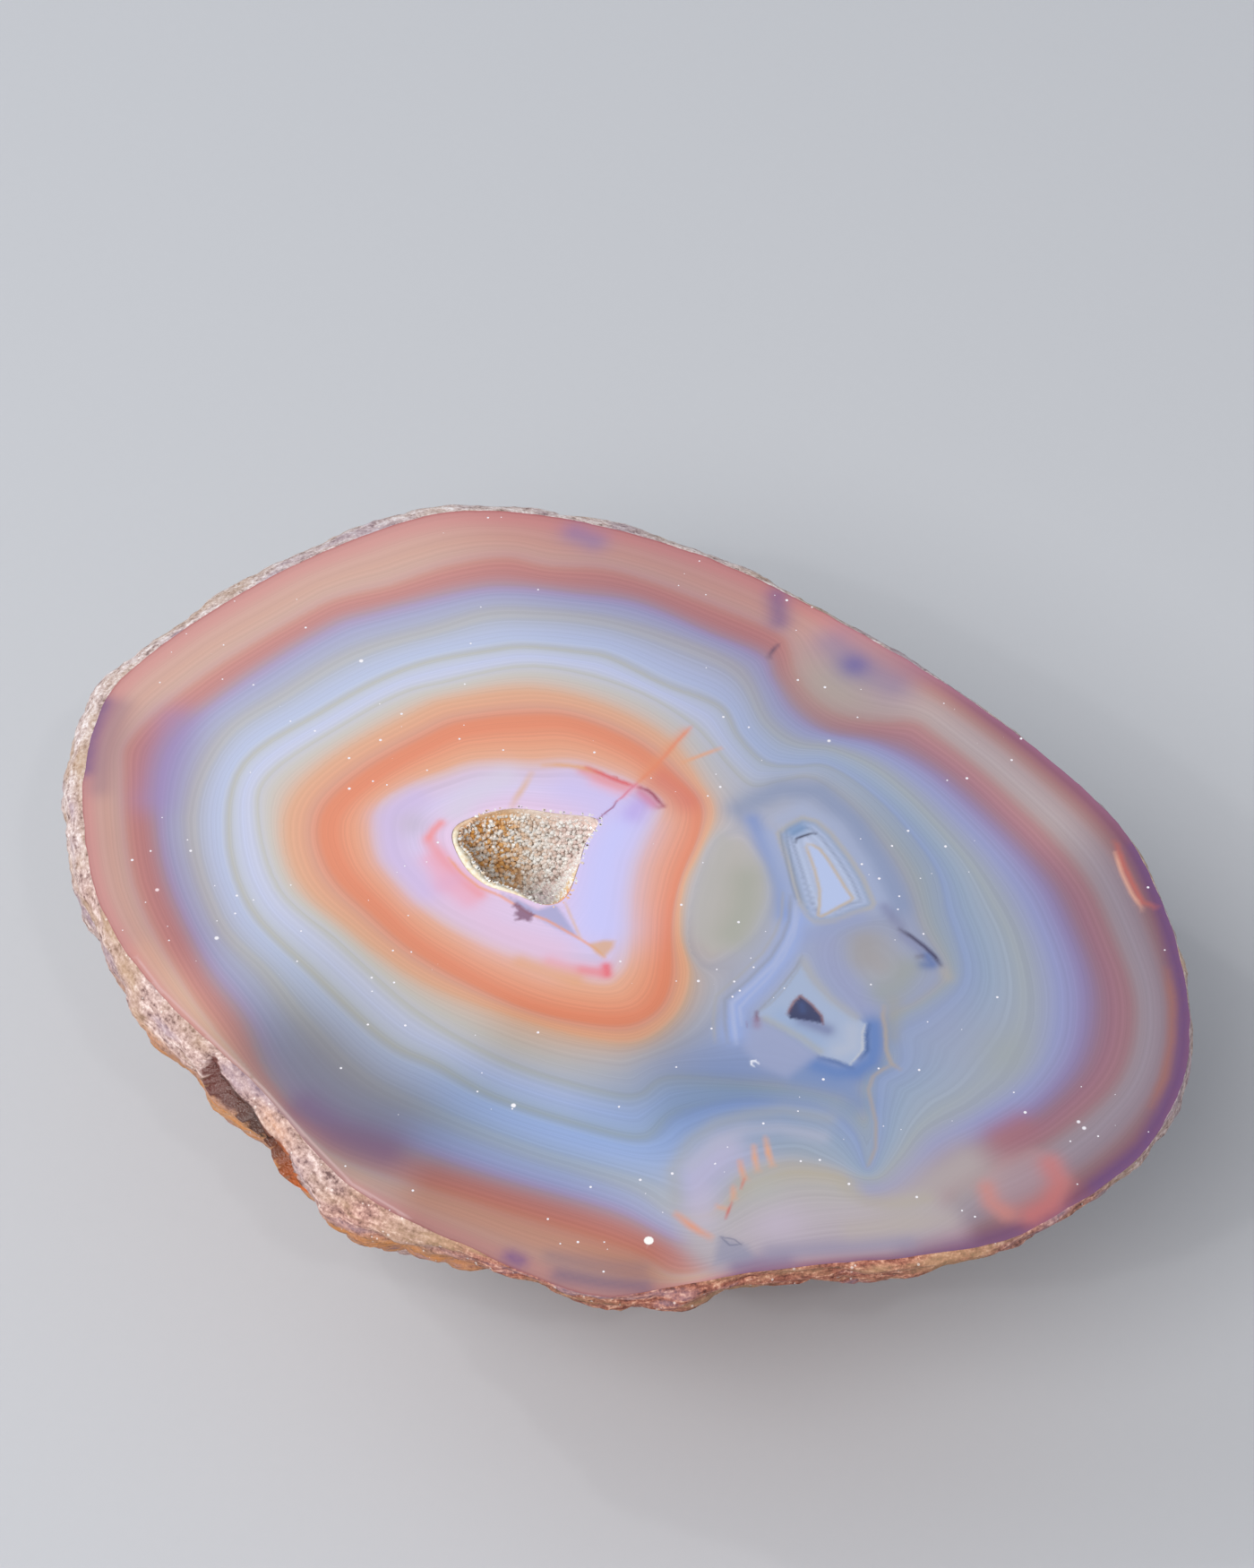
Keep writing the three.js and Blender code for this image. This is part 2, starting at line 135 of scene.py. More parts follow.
# Growth fronts of the agate, from the rind inwards: name, level, the front outside it, its outline.
FRONTS = [
    ("red_outer", 1.0, "edge", [
        (-47, 0), (-46.3, 4), (-44.6, 8), (-42.9, 14), (-40.1, 19),
        (-36.3, 21.5), (-31.6, 26), (-22.3, 30),
        (-15.2, 32.4), (-13, 31.9), (-10, 30.2), (-6, 29.6),
        (-3, 30.3), (-0.5, 32.2), (1.5, 34.4), (4, 34.8),
        (12, 34.9), (24, 33.6), (32, 30.3), (39, 26), (43.5, 19.5), (44.3, 12), (43.6, 7), (42.6, 2),
        (43.4, -3), (42.6, -7), (39.5, -11.5), (36.6, -16.2), (35.4, -20), (33.4, -23.6), (29, -24.9),
        (18, -30.9), (10, -35.2), (4, -37.9), (-4, -38.0), (-12, -37.4), (-20, -36), (-31, -32.7),
        (-42, -25.8), (-45.5, -22), (-47.1, -12)]),
    ("red_inner", 2.0, "red_outer", [
        (-44.4, 0), (-43, 5), (-39.4, 13.6), (-36.7, 17.4), (-32.1, 21.3), (-27.1, 25.2), (-19.7, 27.7),
        (-14.2, 29.6), (-11, 28.4), (-7, 27.3), (-3, 27.6), (1, 30.2),
        (6, 31.6), (12, 31.7), (22, 30.6), (28, 28.5),
        (35, 24.5), (39.8, 18.5), (41.2, 12), (40.6, 7), (39.8, 2), (40.4, -3), (38.8, -7), (36.2, -11),
        (34.2, -15.6), (33.4, -19), (31, -21.5), (25, -23.6), (14, -29.9), (6, -33.8), (0, -37),
        (-6, -36.7), (-12, -34.7), (-20, -33.5), (-32, -29.2), (-42, -21.5), (-44.3, -12)]),
    ("grey", 3.0, "red_inner", [
        (-40, 0), (-37.3, 8), (-35.6, 13), (-32.7, 16.5), (-27.5, 21), (-20, 25), (-14, 26.6), (-8, 24.4),
        (-4, 24.6), (-1, 26.8), (4, 28.4), (12, 28), (20, 26.6),
        (28, 23.5), (34, 18.6), (37, 13), (37.3, 8),
        (36.6, 3), (37.4, -1), (37.4, -4.2), (34, -6.4), (31.4, -9),
        (30.2, -13), (30.4, -17), (28.4, -19.4),
        (24, -20.4), (16, -24.7), (8, -28.3), (0, -31), (-8, -31),
        (-15, -30.1), (-23, -29.6), (-34, -24.2),
        (-39.8, -16), (-40.3, -8)]),
    ("olive_1", 4.0, "grey", [
        (-35.7, 0), (-34.4, 5), (-31.8, 10), (-29.9, 13), (-26, 16.5), (-23.4, 18.3), (-17.5, 19.9),
        (-12, 22.1), (-8, 20.9), (-4, 20.6), (-1.8, 22.3), (0.5, 24.8), (7, 25.3), (15, 23.8), (20, 20.8),
        (26, 17), (26.8, 12.5), (26.4, 8.2), (29.2, 6), (29.3, 3.4), (31.4, 1.2), (34, -1), (36, -3.6),
        (33, -1.8), (30, -1.5), (27, -2.9), (22.8, -7.4), (20.6, -12.5), (21, -16.2), (17, -19.2),
        (9, -23.4), (3, -25), (-2, -26.7), (-12, -26.9), (-22, -26.5), (-30.2, -22.6), (-36, -16.2),
        (-36.2, -7)]),
    ("olive_2", 5.0, "olive_1", [
        (-33, 0), (-31.5, 4), (-27.4, 12), (-19.5, 17), (-12, 18.6),
        (-6, 17.8), (-2.6, 17.8), (-1.3, 20.4),
        (0.4, 22.8), (6, 23.2), (14, 21.4), (20, 18.3), (25, 16.4), (25.8, 12.4), (25.4, 8.8), (28.2, 5.4),
        (28.4, 3), (30.2, 1), (32, -0.3), (30, 0.2), (26, -2.2), (21.5, -6.3), (17.3, -10.5), (17, -13.8),
        (13, -16.8), (6, -20.3), (-3, -22.5), (-14, -22.8), (-22, -23), (-30, -19.2), (-33.3, -15.2),
        (-33.5, -6)]),
    ("orange_outer", 6.0, "olive_2", [
        (-30.6, 0), (-29.4, 4), (-25.7, 10), (-19.5, 14), (-12, 15.8), (-6, 14.4), (-2.5, 13), (0, 9),
        (2.2, 5), (6, 1.2), (10, -1.2), (12.6, -5), (12.8, -9.5), (10, -12.6), (4, -16.2), (-5, -20.2),
        (-14, -21.4), (-22, -21.3), (-29, -17), (-31.2, -10)]),
    ("orange_deep", 7.0, "orange_outer", [
        (-25.7, 0), (-24.5, 3), (-22.5, 6), (-19.5, 9.5), (-14, 11.8), (-9, 12.3), (-5, 12.3), (-2, 10),
        (0.5, 6), (3.5, 2), (7, -1.5), (10, -5), (10.3, -8), (8, -11), (2, -14.8), (-8, -17.3),
        (-14, -17.4), (-20, -17), (-25, -14), (-26.3, -8)]),
    ("quartz", 8.0, "orange_deep", [
        (-21.5, 0), (-17.9, 4), (-15.5, 7), (-12, 8.8), (-8, 10.1), (-6.3, 9.5), (-4.7, 6), (-2, 2),
        (1.5, -1.5), (4.8, -4.5), (5.6, -6.5), (5, -8), (0, -10.8), (-8, -13.9), (-14, -14.4),
        (-19.5, -13.4), (-23.4, -10), (-23.4, -6), (-22.6, -3)]),
    ("pocket", 9.0, "quartz", [
        (-9, 4.2), (-7.6, 1.6), (-6, -0.6), (-4, -3.8),
        (-4.4, -5.9), (-7.3, -7.3), (-10, -8.6), (-13, -8.6),
        (-16.4, -7.2), (-17, -5), (-15.3, -1), (-12, 1.9)]),
    ("oval", 5.5, "olive_2", [
        (1, 13.5), (5, 12.8), (8, 11), (10.5, 7), (11.3, 3), (10.6, 0.4), (8, 0.6), (5, 3.2), (2.4, 6.6),
        (0, 10.6)]),
    ("eye_1", 5.4, "olive_2", [
        (1, 16), (2, 19.3), (4.5, 20.2), (8, 19.6), (12, 18.2), (16.3, 16.6), (15.2, 14), (12.8, 11.4),
        (10, 12.2), (6, 13.8), (2.5, 14.8)]),
    ("eye_2", 5.4, "olive_2", [
        (15, 8.4), (19, 7.2), (22.5, 6.6), (24.6, 6.5), (26.9, 4.8), (27.1, 2.6), (24.2, 1.2), (20.5, 0.5),
        (17.6, -0.6), (16.4, 0.6), (15.9, 3)]),
    ("ball", 5.3, "olive_2", [
        (15.6, 12), (16.4, 15), (18.4, 16.3), (21.4, 16.2),
        (23.8, 15), (24.7, 12.6), (24.2, 10), (22, 8.4),
        (19, 8.6), (16.6, 10)]),
]
POCKET_EDGE = next(points for name, _, _, points in FRONTS if name == "pocket")

# The lobe at the front right, where the bands turn aside round a knob of cream and grey.
LOBE = [
    (42, -1.5), (38.5, -5.6), (35, -5.6), (31.5, -7.6),
    (28.2, -10.4), (26.2, -13.5), (27, -17.2), (30, -20),
    (33.5, -21.5), (37, -20), (41, -13.5), (45.5, -6.8), (48, -2.5),
]

# Band colours by level of growth: the bright left, the dusky right, the lobe and the core.
LEFT_BANDS = [
    (0.0, (176, 108, 106)), (0.05, (202, 146, 140)), (0.2, (210, 156, 148)), (0.4, (208, 167, 154)),
    (0.6, (208, 168, 152)), (0.8, (206, 171, 157)), (0.93, (204, 166, 157)), (1.08, (203, 152, 140)),
    (1.3, (200, 142, 134)), (1.6, (195, 140, 136)), (1.8, (189, 144, 146)), (2.0, (180, 152, 162)),
    (2.17, (173, 158, 188)), (2.4, (170, 170, 200)), (2.7, (174, 177, 198)), (2.85, (177, 178, 190)),
    (3.0, (184, 184, 188)), (3.15, (185, 186, 190)), (3.3, (184, 189, 204)), (3.6, (187, 195, 219)),
    (3.8, (190, 199, 223)), (3.95, (190, 193, 200)), (4.04, (189, 189, 184)), (4.2, (196, 200, 212)),
    (4.5, (199, 204, 228)), (4.75, (201, 204, 222)), (5.0, (197, 195, 190)), (5.1, (202, 200, 204)),
    (5.4, (205, 198, 190)), (5.7, (212, 192, 178)), (6.0, (220, 182, 158)),
]
RIGHT_BANDS = [
    (0.0, (128, 84, 112)), (0.1, (121, 77, 99)), (0.23, (136, 96, 104)), (0.34, (141, 110, 116)),
    (0.5, (146, 128, 138)), (0.7, (150, 136, 146)), (0.85, (151, 134, 142)), (0.95, (152, 124, 130)),
    (1.07, (154, 114, 122)), (1.27, (156, 112, 123)), (1.5, (152, 109, 124)), (1.7, (147, 112, 130)),
    (1.9, (142, 117, 146)), (2.1, (142, 128, 168)), (2.3, (145, 142, 183)), (2.55, (147, 151, 191)),
    (2.8, (153, 158, 184)), (3.0, (156, 162, 176)), (3.15, (158, 165, 172)), (3.3, (157, 167, 181)),
    (3.6, (147, 162, 184)), (3.9, (141, 156, 190)), (4.0, (146, 158, 180)), (4.4, (150, 160, 173)),
    (4.7, (154, 160, 166)), (5.0, (158, 160, 168)), (5.2, (150, 157, 182)), (5.4, (154, 162, 190)),
    (5.6, (168, 172, 186)), (6.0, (200, 170, 146)),
]
LOBE_BANDS = [
    (0.0, (118, 80, 116)), (0.1, (148, 108, 128)), (0.3, (172, 142, 152)), (0.7, (170, 154, 166)),
    (1.3, (178, 166, 172)), (2.0, (182, 172, 176)), (2.6, (178, 172, 168)), (2.9, (182, 172, 156)),
    (3.1, (176, 174, 184)), (3.4, (164, 172, 206)), (4.0, (162, 170, 202)),
]
CORE_BANDS = [
    (6.0, (220, 182, 158)), (6.15, (226, 174, 143)), (6.35, (225, 168, 138)), (6.5, (222, 164, 140)),
    (6.62, (221, 154, 130)), (6.78, (228, 144, 112)), (7.0, (230, 144, 112)), (7.25, (230, 154, 123)),
    (7.5, (231, 163, 131)), (7.8, (229, 172, 143)), (8.0, (223, 190, 188)), (8.15, (215, 192, 212)),
    (8.5, (218, 203, 233)), (8.9, (228, 200, 226)),
]

# The levels at which the outer bands end in the core and the core ends in its middle.
OUTER_TOP = 6.0
CORE_TOP = 9.4

# Where the bright left turns into the dusky right, which way it does, and how softly the lobe begins.
DUSK_WAY = (0.94, 0.34)
DUSK_ACROSS = (-12, 22)
DUSK_FROM_FRONT = (-22, -6)
LOBE_FADE = 1.4

# Broad drifts over the face, partly tints of the bands' own colour and partly painted light and shade:
# colour to multiply by, strength, radius, where.
DRIFTS = [
    ((1.05, 1.04, 1.04), 1.0, 12, [(-47, 10), (-48, -3), (-46, -14)]),
    ((0.82, 0.72, 0.76), 0.9, 5.0, [(-43, -22.5), (-35, -28.8), (-24, -33.4)]),
    ((0.89, 0.72, 0.76), 0.9, 9, [(-42, 25), (-30, 32), (-16, 34)]),
    ((1.60, 1.62, 1.38), 0.9, 6, [(-10, 38), (0, 39), (12, 38.4), (18, 37.6)]),
    ((0.82, 0.85, 0.93), 0.9, 11, [(-26, 24), (-8, 25)]),
    ((1.14, 1.12, 1.02), 0.9, 1.6, [(-24, -36.8), (-5, -37.8), (8, -38)]),
    ((0.80, 0.84, 0.88), 0.8, 4, [(8, -21.5), (15, -17), (18.5, -12)]),
    ((0.60, 0.62, 0.62), 0.9, 6.5, [(-7, -34.5), (3, -34.5)]),
    ((0.82, 0.82, 0.80), 0.9, 9, [(-10, -27), (4, -25)]),
    ((0.62, 0.75, 0.95), 0.95, 7.5, [(9, -28), (17, -22), (21, -15), (21, -7)]),
    ((0.92, 0.62, 0.48), 0.95, 3.2, [(13, -33.4), (24, -27.6), (30, -25)]),
    ((0.72, 0.74, 0.74), 0.9, 4, [(16, -37), (27, -31.5), (33, -26)]),
    ((0.92, 0.80, 0.70), 0.8, 4, [(5, -16), (13, -8), (8, 0)]),
]

# The first eye's rings, by depth inside its outline.
EYE_RINGS = [
    (0.0, (178, 174, 170)), (0.3, (172, 172, 176)), (0.6, (152, 165, 192)), (0.95, (174, 186, 214)),
    (1.25, (150, 160, 186)), (1.55, (184, 196, 222)), (2.0, (172, 182, 208)), (2.4, (188, 198, 224)),
]

# Half the width of a chip's soft edge.
SPOT_EDGE = 0.05

# Marks on the face in the order they lie on each other: kind, colour, strength, size in mm, points.
# A cloud fades from its points, a line has that width, a patch fills its outline with that soft edge,
# rings fill it with colours by depth, and a spot is a round chip with that radius.
MARKS = [
    ("cloud", (118, 114, 126), 0.6, 5.5, [(-4, -33.8), (4, -33.2)]),
    ("cloud", (112, 78, 118), 0.55, 2.0, [(-1, -36.6), (3, -36), (7, -34)]),
    ("cloud", (104, 80, 136), 0.7, 1.0, [(-50.4, -21.8), (-47.8, -25.2), (-45, -27.9)]),
    ("cloud", (150, 116, 130), 0.5, 1.4, [(-49, -21), (-45.6, -25), (-42.5, -28.2)]),
    ("cloud", (108, 84, 140), 0.6, 1.2, [(-18.8, 35.6), (-16.3, 33.6)]),
    ("cloud", (124, 112, 170), 0.5, 1.5, [(-38, 26.3), (-36, 27)]),
    ("cloud", (174, 166, 154), 0.65, 4.4, [(-7, 32.6)]),
    ("cloud", (112, 106, 164), 0.45, 2.4, [(-10.6, 35.6), (-7.2, 35.4), (-3.4, 36.4)]),
    ("cloud", (98, 92, 160), 0.65, 1.5, [(-7.4, 35.2)]),
    ("cloud", (98, 72, 130), 0.5, 0.8, [
        (26, 39.4), (33, 36), (41, 30.5), (47, 23.6), (50.2, 16), (50.4, 10)]),
    ("line", (168, 108, 92), 0.5, 0.6, [(38, 31.4), (41, 29), (43.8, 26), (46.2, 22.6), (47.6, 19.6)]),
    ("cloud", (112, 82, 122), 0.4, 0.9, [(44.4, -7), (47.4, -2.4), (49.2, 1.4)]),
    ("cloud", (104, 84, 130), 0.5, 1.0, [(38.4, -15.6), (36.4, -19)]),
    ("cloud", (104, 74, 134), 0.65, 0.8, [(22.8, -33), (23.6, -32.7)]),
    ("cloud", (104, 94, 122), 0.6, 0.9, [(27, -31), (30, -28.8), (32.6, -26.4)]),
    ("cloud", (126, 108, 122), 0.4, 0.8, [(25, -30.4), (28.6, -27.6), (31, -25.4)]),
    ("cloud", (178, 168, 166), 0.85, 3.0, [(41.4, 3), (41, -0.4), (41.2, -4)]),
    ("cloud", (172, 104, 106), 0.5, 1.6, [(41.4, 9.4), (41.2, 7.4)]),
    ("cloud", (158, 138, 190), 0.5, 2.2, [(-44, -18), (-38, -25)]),
    # A pale pink line just inside the bottom rim: a painted highlight along the cut edge.
    ("line", (226, 192, 190), 0.5, 0.18, [
        (-24, -37.7), (-20, -38.2), (-12, -38.15), (-5, -38.05), (2, -38.4), (8, -38.5), (14, -37)]),
    ("cloud", (156, 160, 186), 0.5, 5.0, [(31, 12)]),
    ("cloud", (158, 164, 160), 0.5, 3.0, [(35, 14)]),
    ("patch", (196, 150, 152), 0.3, 0.6, [
        (42.9, 6), (43.8, 8.6), (46, 9.6), (48.6, 8.8), (50.1, 6), (49.6, 3), (47.6, 1.2), (45.2, 1.2),
        (43.4, 2.8)]),
    ("cloud", (206, 112, 106), 0.6, 1.2, [(46.2, 8.6), (48.2, 7.8), (49.2, 5.6), (49, 3.6)]),
    ("cloud", (210, 132, 118), 0.6, 0.9, [(44.4, 2.6), (45.8, 1.9), (47.4, 2.1)]),
    ("line", (196, 104, 92), 0.8, 0.45, [
        (24.6, 38.4), (26.6, 37.2), (28.8, 36.2), (31, 35.3), (32, 35.8)]),
    ("line", (236, 176, 150), 0.7, 0.3, [(25.2, 37.6), (27.4, 36.3), (29.6, 35.3), (31.4, 34.8)]),
    ("line", (78, 66, 96), 0.8, 0.35, [(-14.1, 31.4), (-13.9, 30.6), (-13.6, 29.8)]),

    # The first eye, ringed and gold-lined, and the lens-shaped fissure beside it.
    ("cloud", (126, 142, 176), 0.6, 1.5, [
        (-1.4, 15), (-0.6, 19.5), (2, 22), (7, 21.8), (12, 20), (16.5, 18.2)]),
    ("cloud", (112, 140, 200), 0.65, 1.0, [(0.5, 15), (4, 13.6), (8, 11.8), (10.6, 9.8)]),
    ("cloud", (166, 176, 204), 0.7, 1.1, [(2.2, 17), (2.6, 19.4), (6, 20.2), (11, 19.2), (15.6, 17.2)]),
    ("cloud", (160, 172, 206), 0.7, 1.0, [(3, 15), (7, 12.9), (10.4, 11.2), (12.8, 11)]),
    ("rings", EYE_RINGS, 0.95, 0.2, [
        (3, 15.6), (2.9, 17), (3.1, 18.8), (4.4, 19.6), (6.4, 19.6), (9.5, 19), (12.3, 18.2), (15.2, 16.9),
        (15.4, 16.2), (14.8, 14.6), (14.3, 12.6), (13.4, 11.2), (12.2, 10.9), (10.4, 11.6), (8.4, 12.7),
        (6.2, 13.9), (4.3, 14.9)]),
    ("line", (134, 144, 164), 0.6, 0.2, [(3.2, 16), (4.3, 15.2), (6.2, 14), (8.4, 12.6), (10.4, 11.5)]),
    ("line", (134, 144, 164), 0.6, 0.2, [(3.4, 16.5), (4.5, 15.7), (6.5, 14.4), (8.6, 13), (10.6, 11.9)]),
    ("patch", (182, 195, 228), 1.0, 0.2, [
        (5.9, 16.8), (7.1, 17.2), (8.4, 17), (10.3, 16.4),
        (12.3, 15.9), (13.3, 15.6), (13.2, 14.3), (13, 12.8),
        (12.8, 12.2), (11.9, 13), (10.6, 14.1), (8.6, 15.3), (6.9, 16.1)]),
    ("line", (196, 176, 150), 0.8, 0.24, [
        (5.9, 16.9), (6.3, 17.2), (7.1, 17.35), (8.4, 17.1), (10.3, 16.55), (12.3, 15.95), (13.3, 15.75),
        (13.4, 15.4), (13.25, 14.3), (13.1, 12.8), (13, 12.1), (12.7, 12), (11.9, 12.9), (10.6, 14.1),
        (8.6, 15.35), (6.9, 16.2), (6.1, 16.6), (5.9, 16.9)]),
    ("cloud", (104, 140, 182), 0.7, 0.75, [(4.1, 17.7), (4, 17)]),
    ("line", (58, 56, 76), 0.9, 0.2, [(5.5, 18.3), (5.2, 18), (4.95, 17.3), (4.75, 16.6), (5.05, 16.2)]),
    ("cloud", (122, 124, 160), 0.55, 0.6, [(16, 17.2), (18.5, 16.7)]),
    ("cloud", (128, 134, 174), 0.7, 0.5, [(19.4, 16.2), (21.6, 16.2)]),
    ("cloud", (88, 112, 170), 0.9, 0.6, [(22.6, 16.2), (23.6, 15.9), (23.1, 15.3)]),
    ("line", (52, 44, 82), 0.95, 0.3, [
        (18.8, 16.5), (20, 16.7), (21.6, 16.8), (23, 16.75), (24.2, 16.45)]),
    ("cloud", (92, 82, 108), 0.6, 0.25, [(22.3, 15.9), (22.1, 15.5)]),
    ("cloud", (172, 166, 160), 0.6, 0.6, [(24.8, 16.2), (25.6, 16)]),

    # The grey ball under the fissure and its olive tail.
    ("cloud", (160, 157, 160), 0.75, 2.8, [(18.8, 13.2), (20.4, 12.6)]),
    ("cloud", (160, 154, 152), 0.6, 1.5, [(17.6, 13), (19, 11.8)]),
    ("cloud", (154, 158, 148), 0.6, 1.5, [(22.6, 14), (23.4, 12), (23, 10.4)]),
    ("cloud", (158, 157, 150), 0.6, 0.9, [(24.4, 10.4), (25.8, 8.8), (27, 7.6)]),
    ("cloud", (152, 156, 194), 0.45, 1.3, [(15.6, 10.4), (17.2, 9.2), (20, 8.5), (23.4, 7.9)]),
    ("cloud", (148, 158, 196), 0.5, 1.0, [(15.4, 14.6), (14.6, 11.6), (13.6, 9.4)]),

    # Blue fracture ground, the tan lines that frame it, and the second eye with its sharp broken edge.
    ("cloud", (94, 126, 184), 0.9, 1.25, [
        (25.2, 7.1), (26.6, 6), (27.9, 4.4), (27.9, 2.6), (26.8, 1.2), (25.2, 0.4)]),
    ("cloud", (116, 140, 184), 0.6, 1.5, [(25, -1.6), (26.4, -0.8), (28.6, 0.6), (30.4, 0.4)]),
    ("line", (174, 160, 148), 0.75, 0.3, [
        (24.2, 9.4), (24.9, 8.6), (26.2, 7.7), (27.8, 6.3), (29.2, 5.6), (30.2, 5.7)]),
    ("line", (172, 158, 146), 0.65, 0.28, [
        (29.4, 5.6), (29.2, 4.5), (29.2, 3.4), (30, 2.1), (31.7, 1), (33, 0.2), (35, -1.7), (36, -3.5)]),
    ("patch", (164, 178, 204), 0.95, 0.12, [
        (15.8, 7), (18, 6.4), (20.5, 6.2), (23, 6.4), (24.6, 6.9), (25.25, 6), (26.6, 4.8), (26.8, 3.8),
        (27.1, 2.7), (25.8, 2.2), (24.4, 1.4), (22, 1.2),
        (19.4, 0.7), (17.5, 0.2), (16.9, 2), (16.4, 4.5)]),
    ("cloud", (180, 186, 202), 0.7, 0.9, [(24.2, 5.6), (25.6, 4.2), (25.2, 3)]),
    ("cloud", (150, 170, 204), 0.6, 1.0, [(19, 1.8), (23, 2.2)]),
    ("cloud", (172, 172, 172), 0.6, 0.5, [(15.4, 7.5), (17.6, 6.8), (20.4, 6.4), (23.4, 6.7)]),
    ("patch", (160, 166, 196), 0.65, 0.6, [
        (18.2, 0.1), (20.5, 0.7), (24.3, 1.3), (24.35, -2.4), (22, -3.4), (19.5, -3.2), (18, -2)]),
    ("cloud", (168, 168, 164), 0.6, 0.4, [(18.3, 0.5), (20, 1), (22, 1.5), (24.1, 1.7)]),
    ("line", (150, 152, 158), 0.75, 0.2, [
        (15.2, 7.7), (15.8, 6.4), (16.4, 4.5), (16.9, 2.5), (17.2, 0.6)]),
    ("line", (158, 160, 168), 0.6, 0.18, [
        (15.6, 7.5), (16.2, 6.2), (16.8, 4.4), (17.25, 2.5), (17.4, 0.8)]),
    ("line", (70, 98, 150), 0.8, 0.3, [(24.8, 7), (25.5, 6.1), (26.8, 4.95), (27.05, 3.9)]),
    ("line", (76, 104, 156), 0.7, 0.35, [(27.3, 2.6), (25.9, 2), (24.6, 1.2)]),
    ("line", (206, 204, 200), 0.5, 0.16, [
        (24.6, 6.7), (25.1, 5.9), (26.4, 4.75), (26.7, 3.8), (26.9, 2.8)]),
    ("cloud", (112, 118, 158), 0.7, 0.7, [(20.6, 2.9), (21.6, 3.3), (22.8, 3.8)]),
    ("patch", (58, 62, 96), 0.97, 0.12, [
        (18.45, 4.5), (19.8, 4.6), (21.3, 4.45), (22.1, 4),
        (21.3, 3.5), (20.3, 2.7), (19.6, 2.1), (19, 2.6),
        (18.7, 3.5)]),
    ("cloud", (70, 84, 128), 0.8, 0.35, [(19.2, 4), (19.8, 3.6)]),
    ("line", (134, 78, 70), 0.7, 0.2, [
        (22.1, 3.95), (21.3, 4.5), (19.8, 4.68), (18.4, 4.6), (18.5, 3.7), (18.9, 2.8), (19.2, 2.3)]),
    ("line", (112, 50, 60), 0.9, 0.28, [(17.2, 0.4), (17.5, 0.1), (17.9, -0.2)]),
    ("cloud", (150, 110, 130), 0.5, 0.4, [(17.8, -0.2), (18.3, -0.6)]),
    ("line", (130, 76, 84), 0.6, 0.16, [(17.4, -1), (17.9, -1.4)]),

    # The oval, its olive middle and the blue and grey bands right of it.
    ("patch", (182, 178, 172), 0.85, 0.9, [
        (-0.2, 11.6), (2, 12.6), (5, 12), (8, 9.4), (10, 6.4), (10.4, 3.6), (9.6, 1.6), (7, 2), (4.4, 4.2),
        (2, 7.4)]),
    ("cloud", (164, 166, 152), 0.65, 1.9, [(5.4, 9.8), (7.6, 7.6), (9.2, 4.8)]),
    ("cloud", (150, 170, 222), 0.75, 1.2, [
        (11.8, 10), (13.8, 7.1), (14.9, 3.4), (15.6, -0.5), (17.6, -2.8)]),
    ("line", (146, 150, 164), 0.6, 0.3, [
        (9.4, 11.6), (11.4, 9.6), (12.5, 7.8), (13.4, 5.6), (14, 2.3),
        (14.3, -0.8), (16.2, -2.5), (18, -3.8)]),
    ("line", (178, 186, 214), 0.6, 0.3, [
        (10.2, 11.6), (12.2, 9.4), (13.3, 7.4), (14.2, 5.2),
        (14.7, 2.1), (15, -0.6), (16.8, -2), (18.6, -3.3)]),
    ("line", (168, 166, 164), 0.5, 0.25, [
        (8.6, 11.4), (10.6, 9.4), (11.7, 7.5), (12.6, 5.2), (13.1, 2.2),
        (13.5, -1.2), (15.4, -3.2), (17.2, -4.6)]),
    ("line", (176, 184, 212), 0.5, 0.25, [
        (11.2, 11), (13, 8.8), (14.2, 6.4), (15, 3.8), (15.5, 1), (15.8, -0.4), (17.4, -1.6)]),

    # Flecks and streaks in the lobe.
    ("cloud", (192, 178, 196), 0.6, 2.6, [(35.2, -13.4)]),
    ("cloud", (196, 184, 206), 0.6, 2.0, [(26.6, -11.6), (27, -15.4), (30.5, -18)]),
    ("cloud", (178, 178, 172), 0.5, 2.0, [(31.6, -12)]),
    ("cloud", (178, 168, 150), 0.45, 0.7, [
        (29.9, -13), (30, -11.4), (30.4, -10), (31.5, -8.3), (33.3, -6.9), (35, -6.1), (36.7, -6.5),
        (38.5, -6.1), (40, -4.8), (41.1, -3.3), (41.8, -2)]),
    ("cloud", (168, 168, 162), 0.45, 0.8, [
        (30, -2.6), (26.7, -5), (25, -7.8), (23.9, -10.4), (23.9, -13.4), (25.2, -16.6), (27.6, -18.4)]),
    ("cloud", (182, 180, 196), 0.5, 0.8, [
        (31, -4.4), (27.9, -6.6), (26, -9), (25.3, -12), (25.8, -15)]),
    ("cloud", (148, 142, 164), 0.6, 0.9, [(37, -15.8), (39.6, -12.4), (41.6, -9.8), (44, -6.4)]),
    ("cloud", (182, 170, 160), 0.5, 1.2, [(40, -9), (42.4, -5.4), (44.6, -2.2)]),
    ("line", (226, 164, 124), 0.9, 0.4, [(28, -8.3), (29.2, -9.1), (30.4, -9.7)]),
    ("line", (226, 164, 124), 0.9, 0.4, [(27.9, -9.6), (28.9, -10.4), (29.9, -11)]),
    ("line", (226, 158, 120), 0.9, 0.4, [(28.3, -11.6), (29.1, -12.1), (29.9, -12.5)]),
    ("line", (206, 120, 104), 0.8, 0.2, [(29.9, -12.5), (30.5, -13.5)]),
    ("line", (226, 158, 120), 0.9, 0.4, [(30, -13.9), (30.8, -14.6)]),
    ("line", (226, 158, 120), 0.8, 0.35, [(30.6, -16.2), (31.2, -15.8)]),
    ("line", (200, 96, 84), 0.8, 0.2, [(31.1, -15.1), (31.9, -16.5)]),
    ("patch", (138, 140, 164), 0.65, 0.5, [
